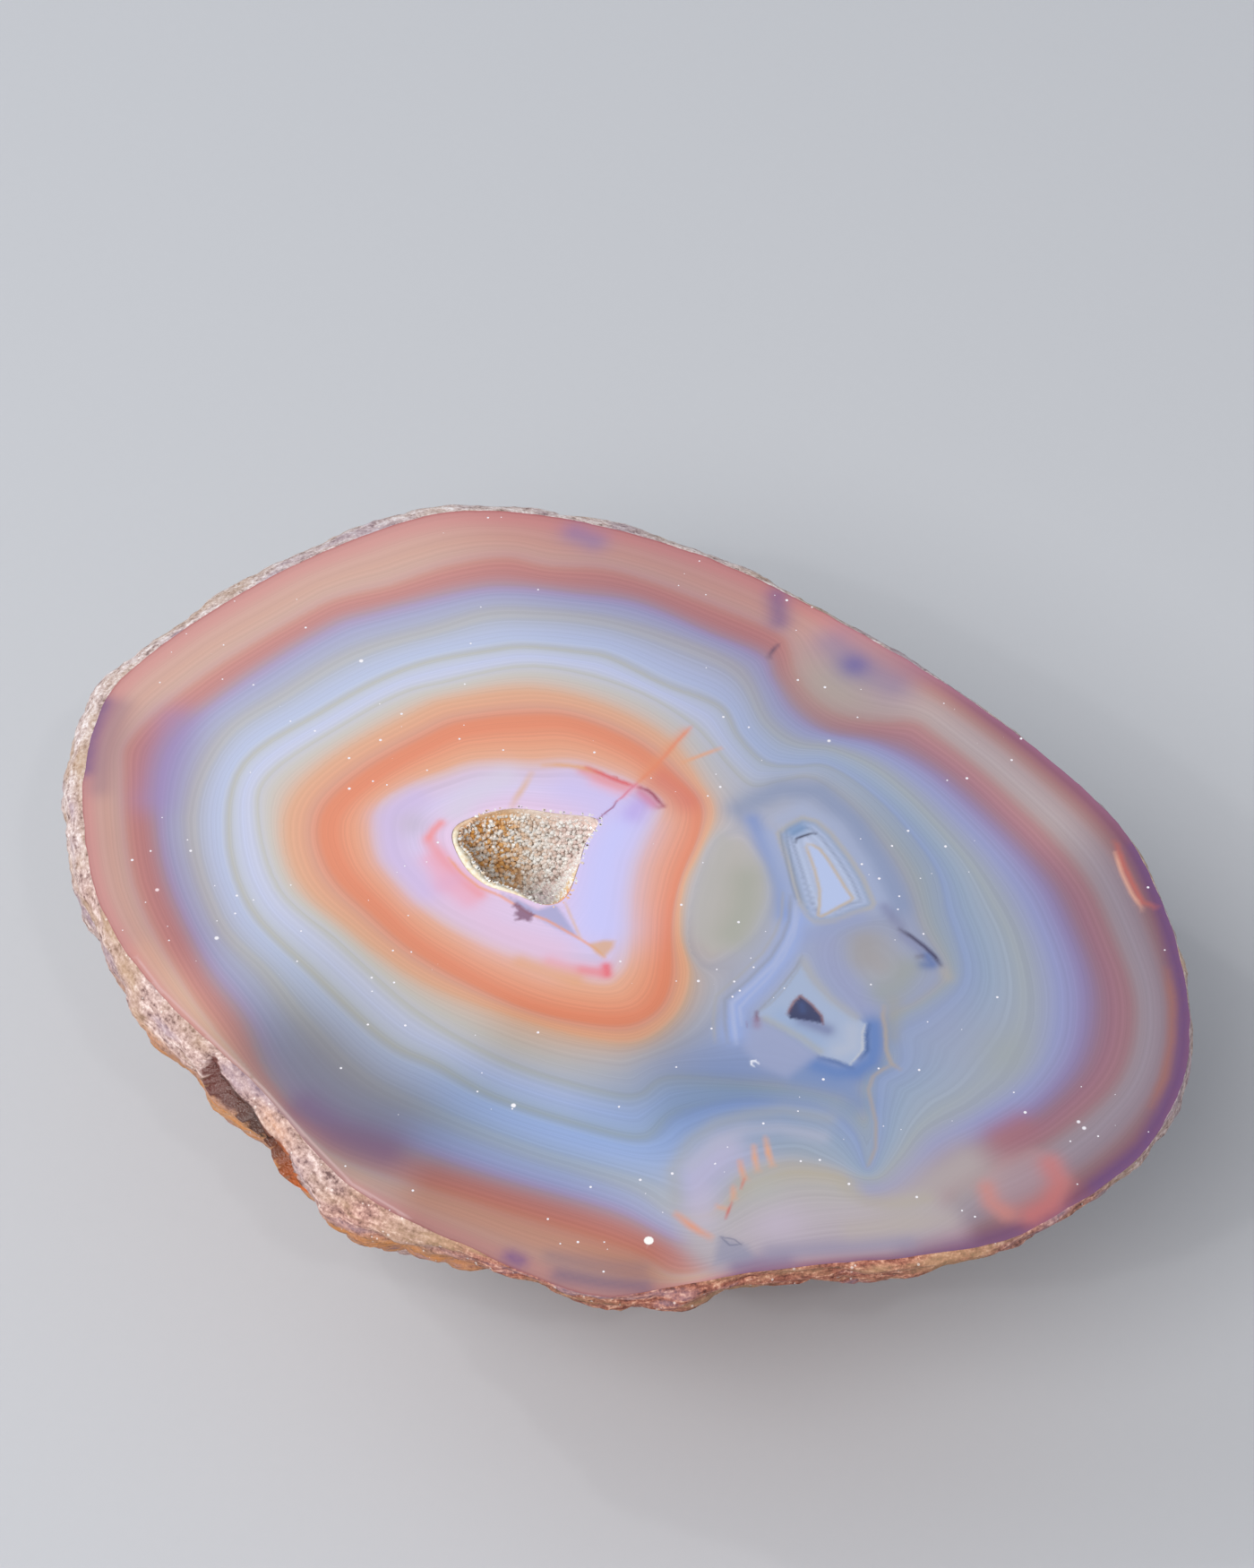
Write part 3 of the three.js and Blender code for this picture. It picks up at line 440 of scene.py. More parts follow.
        (33, -18.2), (34.1, -17.5), (35.2, -17), (36.5, -17.3),
        (36.3, -18.1), (35.4, -19.4), (34.8, -20.3),
        (33.9, -19.4)]),
    ("line", (104, 106, 130), 0.6, 0.12, [
        (33, -18.1), (34, -17.4), (34.8, -17.3), (34.2, -18.1), (33, -18.1)]),
    ("line", (226, 150, 112), 0.85, 0.5, [(28.9, -19.4), (30.2, -19.3), (31.4, -19.1), (32.4, -18.8)]),

    # The core round the pocket: pale quartz, cracks and coral arcs.
    ("cloud", (200, 200, 248), 0.85, 3.4, [(-7, 5), (-5, 1.6), (-2, -1.6), (0.6, -3.6)]),
    ("cloud", (206, 194, 236), 0.7, 2.4, [(-13.4, 5), (-10.8, 6.4)]),
    ("cloud", (216, 208, 224), 0.7, 1.6, [(-18.6, 1), (-19, -3), (-18.4, -5)]),
    ("cloud", (228, 194, 218), 0.75, 2.4, [(-13, -11.6), (-5, -11), (0, -8.8)]),
    ("cloud", (206, 188, 228), 0.7, 1.6, [(-22, -7), (-22, -10.4), (-18, -12.8), (-13, -13.2)]),
    ("cloud", (196, 182, 200), 0.65, 1.6, [(-19.8, -9)]),
    ("cloud", (236, 172, 192), 0.75, 1.1, [(-15.4, -10.4), (-12, -11), (-9.6, -10.8)]),
    ("cloud", (240, 152, 156), 0.7, 0.7, [(-17.2, -9.2), (-14.4, -9.6), (-11.6, -9.8), (-9.4, -9.6)]),
    ("cloud", (244, 146, 142), 0.8, 0.45, [(-18.2, -7), (-18, -8), (-17.6, -8.9)]),
    ("cloud", (226, 172, 200), 0.5, 1.0, [(-12.4, -11.6), (-12.2, -10.2)]),
    ("cloud", (178, 150, 226), 0.5, 1.2, [(-7.8, 8.2), (-7.4, 7.2)]),
    ("cloud", (210, 108, 140), 0.6, 0.6, [(-8.8, 9.4), (-7, 9.4)]),
    ("cloud", (240, 176, 190), 0.5, 0.8, [(-12.6, 7.2), (-10.6, 7.9)]),
    ("cloud", (208, 112, 104), 0.5, 1.6, [(-8.6, 11.6), (-5.4, 11.8)]),
    ("cloud", (232, 136, 128), 0.6, 0.6, [(-14.4, 7.1), (-12, 7.9), (-10.2, 8.7)]),
    ("patch", (170, 168, 206), 0.9, 0.25, [
        (-8.2, -8.1), (-6.5, -7.4), (-4.5, -6.9), (-3.9, -5.2), (-2, -5.6), (0.5, -6.2), (-1.6, -6.9),
        (-4.7, -7.7)]),
    ("line", (238, 160, 120), 0.75, 0.22, [
        (-14.5, -9.1), (-12.4, -9.35), (-10.1, -9.2), (-8.05, -8.4), (-4.7, -7.7), (-2.9, -6.95),
        (-1.4, -6.6), (0.7, -6.1), (2.4, -5.8), (3.6, -5.8)]),
    ("patch", (136, 96, 120), 0.9, 0.1, [
        (-6.6, -7.8), (-6.3, -8.3), (-5.7, -8.2), (-5.5, -8.9), (-5.1, -8.6), (-4.9, -9.4), (-4.6, -8.6),
        (-4.3, -8.5), (-3.8, -8.2), (-4.2, -7.9), (-4.2, -7.4), (-5.4, -7.6)]),
    ("line", (224, 188, 170), 0.75, 0.22, [(-3.6, -4.4), (-1.6, -5.2), (0.7, -6.1)]),
    ("patch", (220, 170, 124), 0.8, 0.3, [
        (1.5, -5.9), (2.1, -4.6), (2.8, -3.9), (3.3, -4.5), (3.6, -5.9), (2.6, -6.1)]),
    ("cloud", (232, 92, 104), 0.85, 0.5, [(4.5, -6.4), (5.2, -6.9)]),
    ("cloud", (236, 128, 134), 0.7, 0.7, [(4.6, -7.3), (3.4, -8.3)]),
    ("cloud", (236, 156, 160), 0.5, 0.8, [(2.6, -9), (0.8, -9.9)]),
    ("cloud", (226, 166, 120), 0.6, 0.8, [(3.8, -9.4), (1.6, -10.6), (-1, -11.8)]),
    ("line", (226, 168, 120), 0.8, 0.4, [
        (-17.3, 4.7), (-16.6, 5.6), (-15.7, 6.5), (-14.5, 7.4), (-13.2, 8.05)]),
    ("line", (220, 92, 92), 0.85, 0.34, [
        (-14.4, 7.6), (-13.2, 8.05), (-11.6, 8.6), (-10.1, 9.3), (-9.4, 9.7)]),
    ("line", (150, 52, 80), 0.85, 0.26, [
        (-9.4, 9.7), (-8.6, 10.05), (-7.9, 10.1), (-6.9, 9.95), (-6.2, 9.9)]),
    ("line", (170, 70, 90), 0.7, 0.3, [(-6.2, 9.9), (-6.4, 9.4)]),
    ("line", (224, 182, 150), 0.75, 0.45, [
        (-17.3, 3.2), (-16.9, 2.4), (-16.5, 1.6), (-15.9, 0.1), (-15.4, -0.7)]),
    ("cloud", (230, 150, 110), 0.4, 0.6, [(-11.8, 17.4), (-11, 14), (-10.3, 11)]),
    ("line", (228, 138, 104), 0.75, 0.3, [
        (-11.8, 18.2), (-11.3, 16), (-10.7, 14), (-10.2, 11.9), (-9.9, 9.8)]),
    ("cloud", (236, 170, 190), 0.5, 0.35, [(-9.8, 9.4), (-9.6, 8)]),
    ("line", (216, 118, 138), 0.75, 0.18, [(-9.9, 9.8), (-9.75, 8.6), (-9.55, 7.8), (-9.5, 6.8)]),
    ("line", (150, 70, 110), 0.8, 0.14, [(-9.5, 7), (-9.2, 6.3), (-9.15, 5.4), (-8.95, 4)]),
    ("line", (230, 160, 116), 0.7, 0.32, [(-8, 18.6), (-8.5, 16.8), (-9, 14.8)]),

    # Dust, chips and fibres that catch the light.
    ("line", (244, 244, 250), 0.9, 0.14, [
        (21.6, -3.3), (21.1, -3.35), (20.9, -3.6), (21.2, -3.85), (21.6, -3.8)]),
    ("line", (206, 112, 110), 0.8, 0.14, [(-12, 8.8), (-11.7, 8.95), (-11.4, 8.7)]),
    ("spot", (255, 252, 246), 1.0, 0.42, [(29.3, -23)]),
    ("spot", (250, 246, 248), 1.0, 0.2, [(-38.7, 0)]),
    ("spot", (250, 246, 248), 1.0, 0.22, [(10.8, -22.6)]),
    ("spot", (250, 246, 248), 0.9, 0.2, [(-21.1, -30.9)]),
    ("spot", (250, 226, 228), 0.9, 0.18, [(-29.1, -31.6)]),
    ("spot", (250, 244, 244), 0.9, 0.16, [(-2, 26.9)]),
    ("spot", (250, 246, 250), 0.9, 0.16, [(44.6, 13.6)]),
    ("spot", (250, 246, 250), 0.9, 0.18, [(45.4, 13.5)]),
]

# Where the face mesh is finer than elsewhere: spacing, then low and high corners.
FINE_FIELDS = [
    (0.30, (-19.5, -13.5, 7, 19.5)),
    (0.28, (0, 8.5, 27, 21)),
    (0.28, (13.5, -5, 33, 9)),
    (0.40, (-1, -2, 16, 14)),
    (0.40, (22, -21, 44, -2)),
]

# Stain of the crystals by place on the face: x, y, radius, colour.
CRYSTAL_STAINS = [
    (-16.2, -4.4, 2.0, (236, 168, 84)),
    (-14.6, -3.2, 2.2, (242, 190, 120)), (-12.5, -6.4, 2.0, (250, 226, 180)),
    (-9.5, -3, 2.2, (236, 226, 230)), (-10, 1.6, 2.4, (248, 226, 218)), (-13, 0.2, 1.8, (240, 220, 202)),
    (-6.2, -2.4, 1.2, (250, 214, 150)), (-5.1, -4.2, 1.3, (252, 150, 50)), (-5.7, -6.2, 0.9, (60, 48, 38)),
    (-8.2, -6.4, 1.6, (246, 232, 204)),
]

# The lights: place and size in metres, colour. The side light has a share of the key light's power.
KEY_LIGHT = ((0.15, -0.75, 0.95), 0.7, (1.0, 0.98, 0.96))
SIDE_LIGHT = ((-0.8, -0.35, 0.6), 0.8, (0.96, 0.97, 1.0))
SIDE_SHARE = 0.3
GLINT_PLACES = [(0.5, -0.2, 0.8), (0.1, -0.6, 0.7), (-0.5, -0.3, 0.7)]
GLINT_SIZE = 0.03
LIGHT_AIM = (0.0, 0.0, 0.02)
SKY_COLOUR = (0.86, 0.91, 1.0, 1.0)
FLOOR_HALF = 3000

# The camera as the photograph has it, aimed at the cut face.
CAMERA_AIM = (-10.46, 9.09)
CAMERA_AZIMUTH = 49.0
CAMERA_ELEVATION = 50.0
CAMERA_DISTANCE = 406.0
CAMERA_LENS = 100.0


def linear(colour):
    """A 0 to 255 screen colour as linear light, with full alpha."""
    shares = [c / 255 for c in colour]
    return (*[s / 12.92 if s <= 0.04045 else ((s + 0.055) / 1.055) ** 2.4 for s in shares], 1.0)


def smooth_loop(values, places):
    """A smooth closed curve through rows of values, read at places counted in rows."""
    rows = np.array(values, float)
    i = np.floor(places).astype(int)
    t = (places - i)[..., None]
    a, b, c, d = (rows[(i + k) % len(rows)] for k in (-1, 0, 1, 2))
    return b + 0.5 * t * (c - a + t * (2 * a - 5 * b + 4 * c - d + t * (3 * (b - c) + d - a)))


def even_places(values, count, finer=24):
    """Places along a closed curve that lie evenly spaced on it."""
    fine = np.arange(0, len(values) * finer + 1) / finer
    points = smooth_loop([row[:2] for row in values], fine % len(values))
    far = np.concatenate([[0], np.cumsum(np.linalg.norm(np.diff(points, axis=0), axis=1))])
    return np.interp(np.arange(count) * far[-1] / count, far, fine)


def gap(points, line):
    """Distance from each point to a line of straight pieces."""
    line = np.array(line, float)
    if len(line) == 1:
        return np.linalg.norm(points - line[0], axis=1)
    best = np.full(len(points), 1e9)
    for a, b in zip(line[:-1], line[1:]):
        along = b - a
        t = np.clip((points - a) @ along / max(along @ along, 1e-12), 0, 1)
        best = np.minimum(best, ((points - a - t[:, None] * along) ** 2).sum(1))
    return np.sqrt(best)


def inside(points, loop):
    """Which points lie inside a closed outline."""
    odd = np.zeros(len(points), bool)
    for a, b in zip(loop, np.roll(loop, -1, 0)):
        crosses = (a[1] > points[:, 1]) != (b[1] > points[:, 1])
        x = a[0] + (points[:, 1] - a[1]) * (b[0] - a[0]) / (b[1] - a[1] + 1e-12)
        odd ^= crosses & (points[:, 0] < x)
    return odd


def closed(loop):
    """An outline with its first point again at its end."""
    return np.vstack([loop, loop[:1]])


def outline(points, finer=5):
    """An outline given as points, as a smooth closed curve."""
    return smooth_loop(points, np.arange(0, len(points), 1 / finer))


def depth_inside(points, loop):
    """How far inside a closed outline each point lies, less than 0 outside it."""
    away = gap(points, closed(loop))
    return np.where(inside(points, loop), away, -away)


def step(low, high, value):
    """0 at low, 1 at high, smooth between them and held beyond."""
    t = np.clip((value - low) / (high - low), 0, 1)
    return t * t * (3 - 2 * t)


def span(value, comes, goes):
    """0 outside a span and 1 in it, with soft ends."""
    return step(*comes, value) * step(*goes, value)


def growth_level(points):
    """The level of growth at points of the face, between the fronts round and inside them."""
    loops = {"edge": outline([row[:2] for row in CUT_EDGE])}
    levels = {"edge": 0.0}
    within = {}
    for name, level, parent, points_of in FRONTS:
        loops[name] = outline(points_of)
        levels[name] = level
        within.setdefault(parent, []).append(name)
    depths = {name: depth_inside(points, loop) for name, loop in loops.items()}
    found = np.zeros(len(points))
    for name in loops:
        children = within.get(name, [])
        here = depths[name] > 0 if name != "edge" else np.ones(len(points), bool)
        for child in children:
            here = here & (depths[child] <= 0)
        if not children:
            found[here] = levels[name] + depths[name][here] / 10
            continue
        share = sum(levels[n] / (np.abs(depths[n]) + 1e-6) for n in [name, *children])
        weight = sum(1 / (np.abs(depths[n]) + 1e-6) for n in [name, *children])
        found[here] = (share / weight)[here]
    return found


def mark_strength(points, kind, strength, size, shape):
    """How strongly one mark covers each point."""
    if kind == "cloud":
        return strength * np.exp(-(gap(points, shape) / size) ** 2)
    if kind == "spot":
        return strength * step(size + SPOT_EDGE, size - SPOT_EDGE, gap(points, shape))
    if kind == "line":
        ends = np.minimum(np.hypot(*(points - shape[0]).T), np.hypot(*(points - shape[-1]).T))
        taper = 0.55 + 0.45 * step(0, 4 * size, ends)
        return strength * taper * np.clip(1.15 - gap(points, shape) / size, 0, 1)
    return strength * step(-size, size, depth_inside(points, np.array(shape, float)))


def painted(points):
    """All the marks laid over each other: their colour times their cover, and their cover."""
    paint = np.zeros((len(points), 4))
    for kind, colour, strength, size, shape in MARKS:
        low = np.min(shape, axis=0) - 3 * size
        high = np.max(shape, axis=0) + 3 * size
        near = np.nonzero(np.all((points > low) & (points < high), axis=1))[0]
        cover = mark_strength(points[near], kind, strength, size, shape)[:, None]
        if kind == "rings":
            depth = depth_inside(points[near], np.array(shape, float))
            tints = np.array([linear(tint) for _, tint in colour])
            reach = [d for d, _ in colour]
            laid = np.stack([np.interp(depth, reach, tints[:, k]) for k in range(4)], axis=1)
        else:
            laid = np.array(linear(colour))
        paint[near] = paint[near] * (1 - cover) + laid * cover
    return paint


def drifts(points):
    """The face's broad tints and painted light and shade, as a colour to multiply by."""
    shade = np.ones((len(points), 4))
    for colour, strength, radius, shape in DRIFTS:
        cover = (strength * np.exp(-(gap(points, shape) / radius) ** 2))[:, None]
        shade *= 1 - cover * (1 - np.array((*colour, 1.0)))
    return shade


def wave(x, y, z, length, start):
    """One layer of lumps, a smooth wave in all three directions."""
    a, b, c = (v * 2 * math.pi / length + start for v in (x + 0.4 * y, y - 0.4 * x, z + 0.3 * x))
    return (np.sin(a) * np.cos(b) + np.sin(b) * np.cos(c) + np.sin(c) * np.cos(a)) / 1.5


def lumps(x, y, z):
    """Swells, knobs and creases of the rind, as the solid has them."""
    knobs = np.abs(wave(x, y, z, 19, 1.3))
    creases = np.abs(wave(z, x, y, 9.5, 2.1))
    return 1.1 * wave(x, y, z, 41, 0.4) + 1.5 * (knobs - 0.35) + 0.6 * (creases - 0.35)


def dents(x, y, depth):
    """How deep the shallow dents press in at each place."""
    sunk = 0
    for turn, low, radius, deep in DENTS:
        away = (np.degrees(np.arctan2(y, x)) - turn + 180) % 360 - 180
        across = away * math.pi * np.hypot(x, y) / 180
        sunk = sunk + deep * np.exp(-(across ** 2 + (depth - low) ** 2) / radius ** 2)
    return sunk


def side_rows(places, downs):
    """Points of the stone's side as the solid has it, one row for each value of downs."""
    u = places[None, :] + 0 * downs[:, None]
    row = smooth_loop(CUT_EDGE, u)
    x, y, flare, full = (row[..., k] for k in range(4))
    ahead = smooth_loop(CUT_EDGE, u + 0.02)[..., :2] - row[..., :2]
    ahead /= np.linalg.norm(ahead, axis=-1, keepdims=True)
    share = np.sin(downs * math.pi / 2)[:, None] ** 1.5 + 0 * x
    depth = FACE * share
    turn = np.arctan2((y - FOOT_CENTRE[1]) / FOOT_WIDTH, (x - FOOT_CENTRE[0]) / FOOT_LENGTH)
    foot = 0.5 + 0.045 * np.sin(2 * turn + 0.6) + 0.035 * np.sin(3 * turn + 1.9) + 0.02 * np.sin(7 * turn)
    fx = FOOT_CENTRE[0] + np.cos(turn) * FOOT_LENGTH * foot
    fy = FOOT_CENTRE[1] + np.sin(turn) * FOOT_WIDTH * foot
    keep = np.maximum(0, 1 - share ** full) ** (1 / full)
    out = flare * (1 - np.exp(-depth / FLARE_REACH)) * np.exp(-depth / FLARE_FADE)
    x = fx + (x - fx) * keep - ahead[..., 1] * out
    y = fy + (y - fy) * keep + ahead[..., 0] * out
    z = FACE - depth
    rough = np.minimum(1, depth / 5) * np.minimum(1, (1 - share) * 12)
    push = rough * (lumps(x, y, z) - dents(x, y, depth))
    away = np.stack([x, y, (z - 0.8 * FACE) * 1.3], axis=-1)
    away /= np.linalg.norm(away, axis=-1, keepdims=True)
    return np.stack([x, y, z], axis=-1) + away * push[..., None], away, share


def noise_at(points, size, start=0.0):
    """Smooth noise with features of one size, between about -1 and 1."""
    flat = (points / size + start).reshape(-1, 3).tolist()
    return np.array([noise.noise(p) for p in flat]).reshape(points.shape[:-1])


def rust_at(points):
    """Where the rind is coppery: the right front, and less so the rest of the front."""
    turn = np.degrees(np.arctan2(points[..., 1], points[..., 0]))
    turn = turn + COPPER_WAVER * noise_at(points, 7.0, 2.2)
    return np.clip(span(turn, *COPPER_RIGHT) + COPPER_FRONT_SHARE * span(turn, *COPPER_FRONT), 0, 1)


def glow_and_crust_at(points):
    """Where the rind gets a painted amber glow, low on the front wall, and where its yellow crust lies high
    on its middle.
    """
    turn = np.degrees(np.arctan2(points[..., 1], points[..., 0]))
    depth = FACE - points[..., 2]
    low = span(depth, *GLOW_DEPTHS) * span(turn, *GLOW_TURNS)
    across = (points[..., 0] - CRUST_PLACE[0]) / CRUST_SIZE[0]
    down = (depth - CRUST_PLACE[1]) / CRUST_SIZE[1]
    high = CRUST_SHARE * np.exp(-across ** 2 - down ** 2) * (points[..., 1] < 0)
    return np.clip(low + high, 0, 1)


def weathered(points, away, share, hollow, settings):
    """The rind's fine relief: grit, pits and, at the right front, ledges."""
    depth = FACE - points[..., 2]
    fade = np.minimum(1, depth / 0.7) * np.minimum(1, (1 - share) * 20) * (1 - 0.8 * hollow)
    coarse = noise_at(points, 5.0, 3.1)
    knots = 1 - np.abs(noise_at(points, 2.3, 11.7)) * 2
    grit = noise_at(points * np.array([1, 1, 2]), 0.8, 27.3)
    level = points[..., 2] * 0.9 + points[..., 0] * 0.12 + coarse * 1.6
    ledge = np.sin(level * 2 * math.pi / LEDGE_SPACING) * (0.3 + rust_at(points))
    push = COARSE_RELIEF * coarse + KNOT_RELIEF * knots + GRIT_RELIEF * grit + LEDGE_RELIEF * ledge
    return points + away * (fade * push * settings.rind_relief / 0.5)[..., None]


def hollowed(points, away):
    """Sinks the long hollow into the front wall, and says which points are in it, its lip among them."""
    wall = np.stack([points[..., 0], FACE - points[..., 2]], axis=-1).reshape(-1, 2)
    within = depth_inside(wall, outline(HOLLOW_MOUTH, 4)).reshape(points.shape[:-1])
    within = np.where(points[..., 1] < 0, within + HOLLOW_RAGGED * noise_at(points, 1.3, 5.5), -1)
    share = np.clip(within / HOLLOW_LIP, 0, 1)
    level = away * np.array([1, 1, 0.3])
    sunk = np.sqrt(share * (2 - share))
    return points - level * HOLLOW_DEPTH * sunk[..., None], step(*HOLLOW_EDGE, within)


def pocket_rows(places, downs, inset):
    """Points of the pocket's wall, from its mouth to the middle of its floor, drawn in by inset."""
    edge = smooth_loop(POCKET_EDGE, places)[None, :, :]
    centre = np.array(POCKET_CENTRE)
    inset = inset + 0 * downs[:, None]
    across = (1 - inset / POCKET_HALF_WIDTH) * np.cos(downs[:, None] * math.pi / 2) ** POCKET_ROUNDING
    xy = centre + (edge - centre) * across[..., None]
    z = FACE - (POCKET_DEPTH - inset) * np.sin(downs[:, None] * math.pi / 2) + 0 * xy[..., 0]
    return np.concatenate([xy, z[..., None]], axis=-1)


def field(low, high, spacing):
    """Points of a hexagonal grid between two corners."""
    ys = np.arange(low[1], high[1], spacing * math.sqrt(0.75))
    xs = np.arange(low[0], high[0], spacing)
    rows = [np.stack([xs + (k % 2) * spacing / 2, np.full(len(xs), y)], axis=1) for k, y in enumerate(ys)]
    return np.concatenate(rows)


def face_points(rim, mouth, spacing):
    """Points to mesh the cut face with: a hexagonal field, finer near small marks, and along every line."""
    kept = [field(rim.min(0), rim.max(0), spacing)]
    for fine, box in FINE_FIELDS:
        low, high = np.array(box[:2]), np.array(box[2:])
        kept = [p[~np.all((p > low) & (p < high), axis=1)] for p in kept]
        kept.append(field(low, high, fine))
    points = np.concatenate(kept)
    points = points[(depth_inside(points, rim) > spacing * 0.5) & (depth_inside(points, mouth) < -0.15)]
    lines = np.concatenate(
        [line_points(shape, size) for kind, _, _, size, shape in MARKS if kind == "line"]
        + [spot_points(shape[0], size) for kind, _, _, size, shape in MARKS if kind == "spot"])
    lines = lines[(depth_inside(lines, rim) > 0.2) & (depth_inside(lines, mouth) < -0.12)]
    cells = {tuple(c) for c in np.round(lines / 0.16).astype(int).tolist()}
    free = [tuple(c) not in cells for c in np.round(points / 0.16).astype(int).tolist()]
    return np.concatenate([points[np.array(free)], lines])


def line_points(shape, width, every=0.3):
    """Points down the middle and both sides of a line mark."""
    shape = np.array(shape, float)
    rows = []
    for a, b in zip(shape[:-1], shape[1:]):
        length = np.linalg.norm(b - a)
        t = np.arange(0, 1, every / max(length, 1e-6))[:, None]
        side = np.array([a[1] - b[1], b[0] - a[0]]) / max(length, 1e-6) * width * 1.1
        middle = a + (b - a) * t
        rows += [middle, middle + side, middle - side]
    return np.unique(np.round(np.concatenate(rows), 3), axis=0)


def spot_points(centre, radius, count=10):
    """Points in the middle and on both sides of the edge of a round mark."""
    turns = np.arange(count) * 2 * math.pi / count
    ring = np.column_stack([np.cos(turns), np.sin(turns)])
    rings = [np.array(centre) + ring * (radius + away) for away in (-SPOT_EDGE, SPOT_EDGE)]
    return np.concatenate([[centre], *rings])


def meshed_face(rim, mouth, spacing):
    """Vertices and triangles of the flat cut face, the rim's points first and the mouth's next."""
    points = np.concatenate([rim, mouth, face_points(rim, mouth, spacing)])
    n, m = len(rim), len(mouth)
    edges = [(i, (i + 1) % n) for i in range(n)] + [(n + i, n + (i + 1) % m) for i in range(m)]
    made = delaunay_2d_cdt([Vector(p) for p in points.tolist()], edges, [], 0, 1e-4, False)
    xy = np.array([tuple(v) for v in made[0]])
    if len(xy) != len(points) or np.abs(xy - points).max() > 1e-3:
        raise RuntimeError("the face's points moved or merged while it was meshed")
    triangles = np.array(made[2])
    middles = xy[triangles].mean(axis=1)
    triangles = triangles[inside(middles, rim) & ~inside(middles, mouth)]
    a, b, c = (xy[triangles[:, k]] for k in range(3))
    turned = (b[:, 0] - a[:, 0]) * (c[:, 1] - a[:, 1]) < (b[:, 1] - a[:, 1]) * (c[:, 0] - a[:, 0])
    triangles[turned] = triangles[turned][:, ::-1]
    return xy, triangles


def ring_quads(upper, lower, facing_in=False):
    """Four-sided faces between two rings of the same number of vertices."""
    count = len(upper)
    quads = [(upper[i], upper[(i + 1) % count], lower[(i + 1) % count], lower[i]) for i in range(count)]
    return [q[::-1] for q in quads] if facing_in else quads


def cap(ring, hub, facing_in=False):
    """Triangles from a ring to one vertex in its middle."""
    count = len(ring)
    fans = [(ring[i], ring[(i + 1) % count], hub) for i in range(count)]
    return [f[::-1] for f in fans] if facing_in else fans


def add_rows(points, faces, ring, rows, facing_in=False):
    """Adds rows of vertices after a ring, joined to it and to each other, and gives the last ring."""
    total = sum(len(row) for row in points)
    for row in rows:
        lower = list(range(total, total + len(row)))
        points.append(row)
        faces += ring_quads(ring, lower, facing_in)
        ring, total = lower, total + len(row)
    return ring


def close_ring(points, faces, ring, centre, facing_in=False):
    """Adds one vertex and closes a ring on it."""
    faces += cap(ring, sum(len(row) for row in points), facing_in)
    points.append(np.array([centre]))


def new_piece(name, points, faces, materials):
    """A mesh object at the origin from points in millimetres."""
    mesh = bpy.data.meshes.new(name)
    mesh.from_pydata((np.array(points) * MM).tolist(), [], faces)
    mesh.validate()
    piece = bpy.data.objects.new(name, mesh)
    bpy.context.scene.collection.objects.link(piece)
    for material in materials:
        mesh.materials.append(material)
    return piece


def store(mesh, name, kind, values):
    """Keeps one value or colour for each vertex under a name that materials read."""
    layer = mesh.attributes.new(name, kind, "POINT")
    field = "value" if kind == "FLOAT" else "color"
    layer.data.foreach_set(field, np.ascontiguousarray(values, dtype=np.float32).ravel())


def node(tree, kind, inputs=None, **settings):
    """Adds a node, sets it up, and fills or links its inputs by name or number."""
    made = tree.nodes.new(kind)
    for key, value in settings.items():
        setattr(made, key, value)
    for key, value in (inputs or {}).items():
        if isinstance(value, bpy.types.NodeSocket):
            tree.links.new(value, made.inputs[key])
        else:
            made.inputs[key].default_value = value
    return made


def mix(tree, factor, a, b, kind="MIX"):
    """One colour laid over another."""
    made = node(tree, "ShaderNodeMix", {0: factor, 6: a, 7: b}, data_type="RGBA", blend_type=kind)
    return made.outputs[2]


def maths(tree, kind, a, b=0.0):
    """One step of arithmetic on two values."""
    return node(tree, "ShaderNodeMath", {0: a, 1: b}, operation=kind).outputs[0]


def between(tree, value, low, high, to_low=0.0, to_high=1.0):
    """A value mapped from one range to another and held inside it."""
    inputs = {"Value": value, "From Min": low, "From Max": high, "To Min": to_low, "To Max": to_high}
    return node(tree, "ShaderNodeMapRange", inputs).outputs["Result"]


def ramp(tree, value, stops, low, high):
    """Colours by value, from stops of value and screen colour."""
    share = maths(tree, "DIVIDE", maths(tree, "SUBTRACT", value, low), high - low)
    made = node(tree, "ShaderNodeValToRGB", {"Fac": share})
    scale = made.color_ramp
    while len(scale.elements) < len(stops):
        scale.elements.new(1.0)
    for element, (place, colour) in zip(scale.elements, stops):
        element.position = (place - low) / (high - low)
        element.color = linear(colour)
    return made.outputs["Color"]


def attribute(tree, name, output="Fac"):
    """Reads a value or colour that the mesh keeps for each vertex."""
    return node(tree, "ShaderNodeAttribute", attribute_name=name).outputs[output]


def new_material(name):
    """A material with a Principled shader, and its tree and shader."""
    material = bpy.data.materials.new(name)
    material.use_nodes = True
    return material, material.node_tree, material.node_tree.nodes["Principled BSDF"]


def new_group(name, inputs, outputs):
    """An empty shader node group with number inputs and the given outputs."""
    tree = bpy.data.node_groups.new(name, "ShaderNodeTree")
    for key, value in inputs:
        kind = "NodeSocketFloat" if isinstance(value, float) else "NodeSocketVector"
        made = tree.interface.new_socket(key, in_out="INPUT", socket_type=kind)
        if isinstance(value, float):
            made.default_value = value
    for key in outputs:
        tree.interface.new_socket(key, in_out="OUTPUT", socket_type="NodeSocketFloat")
    return tree, tree.nodes.new("NodeGroupInput"), tree.nodes.new("NodeGroupOutput")


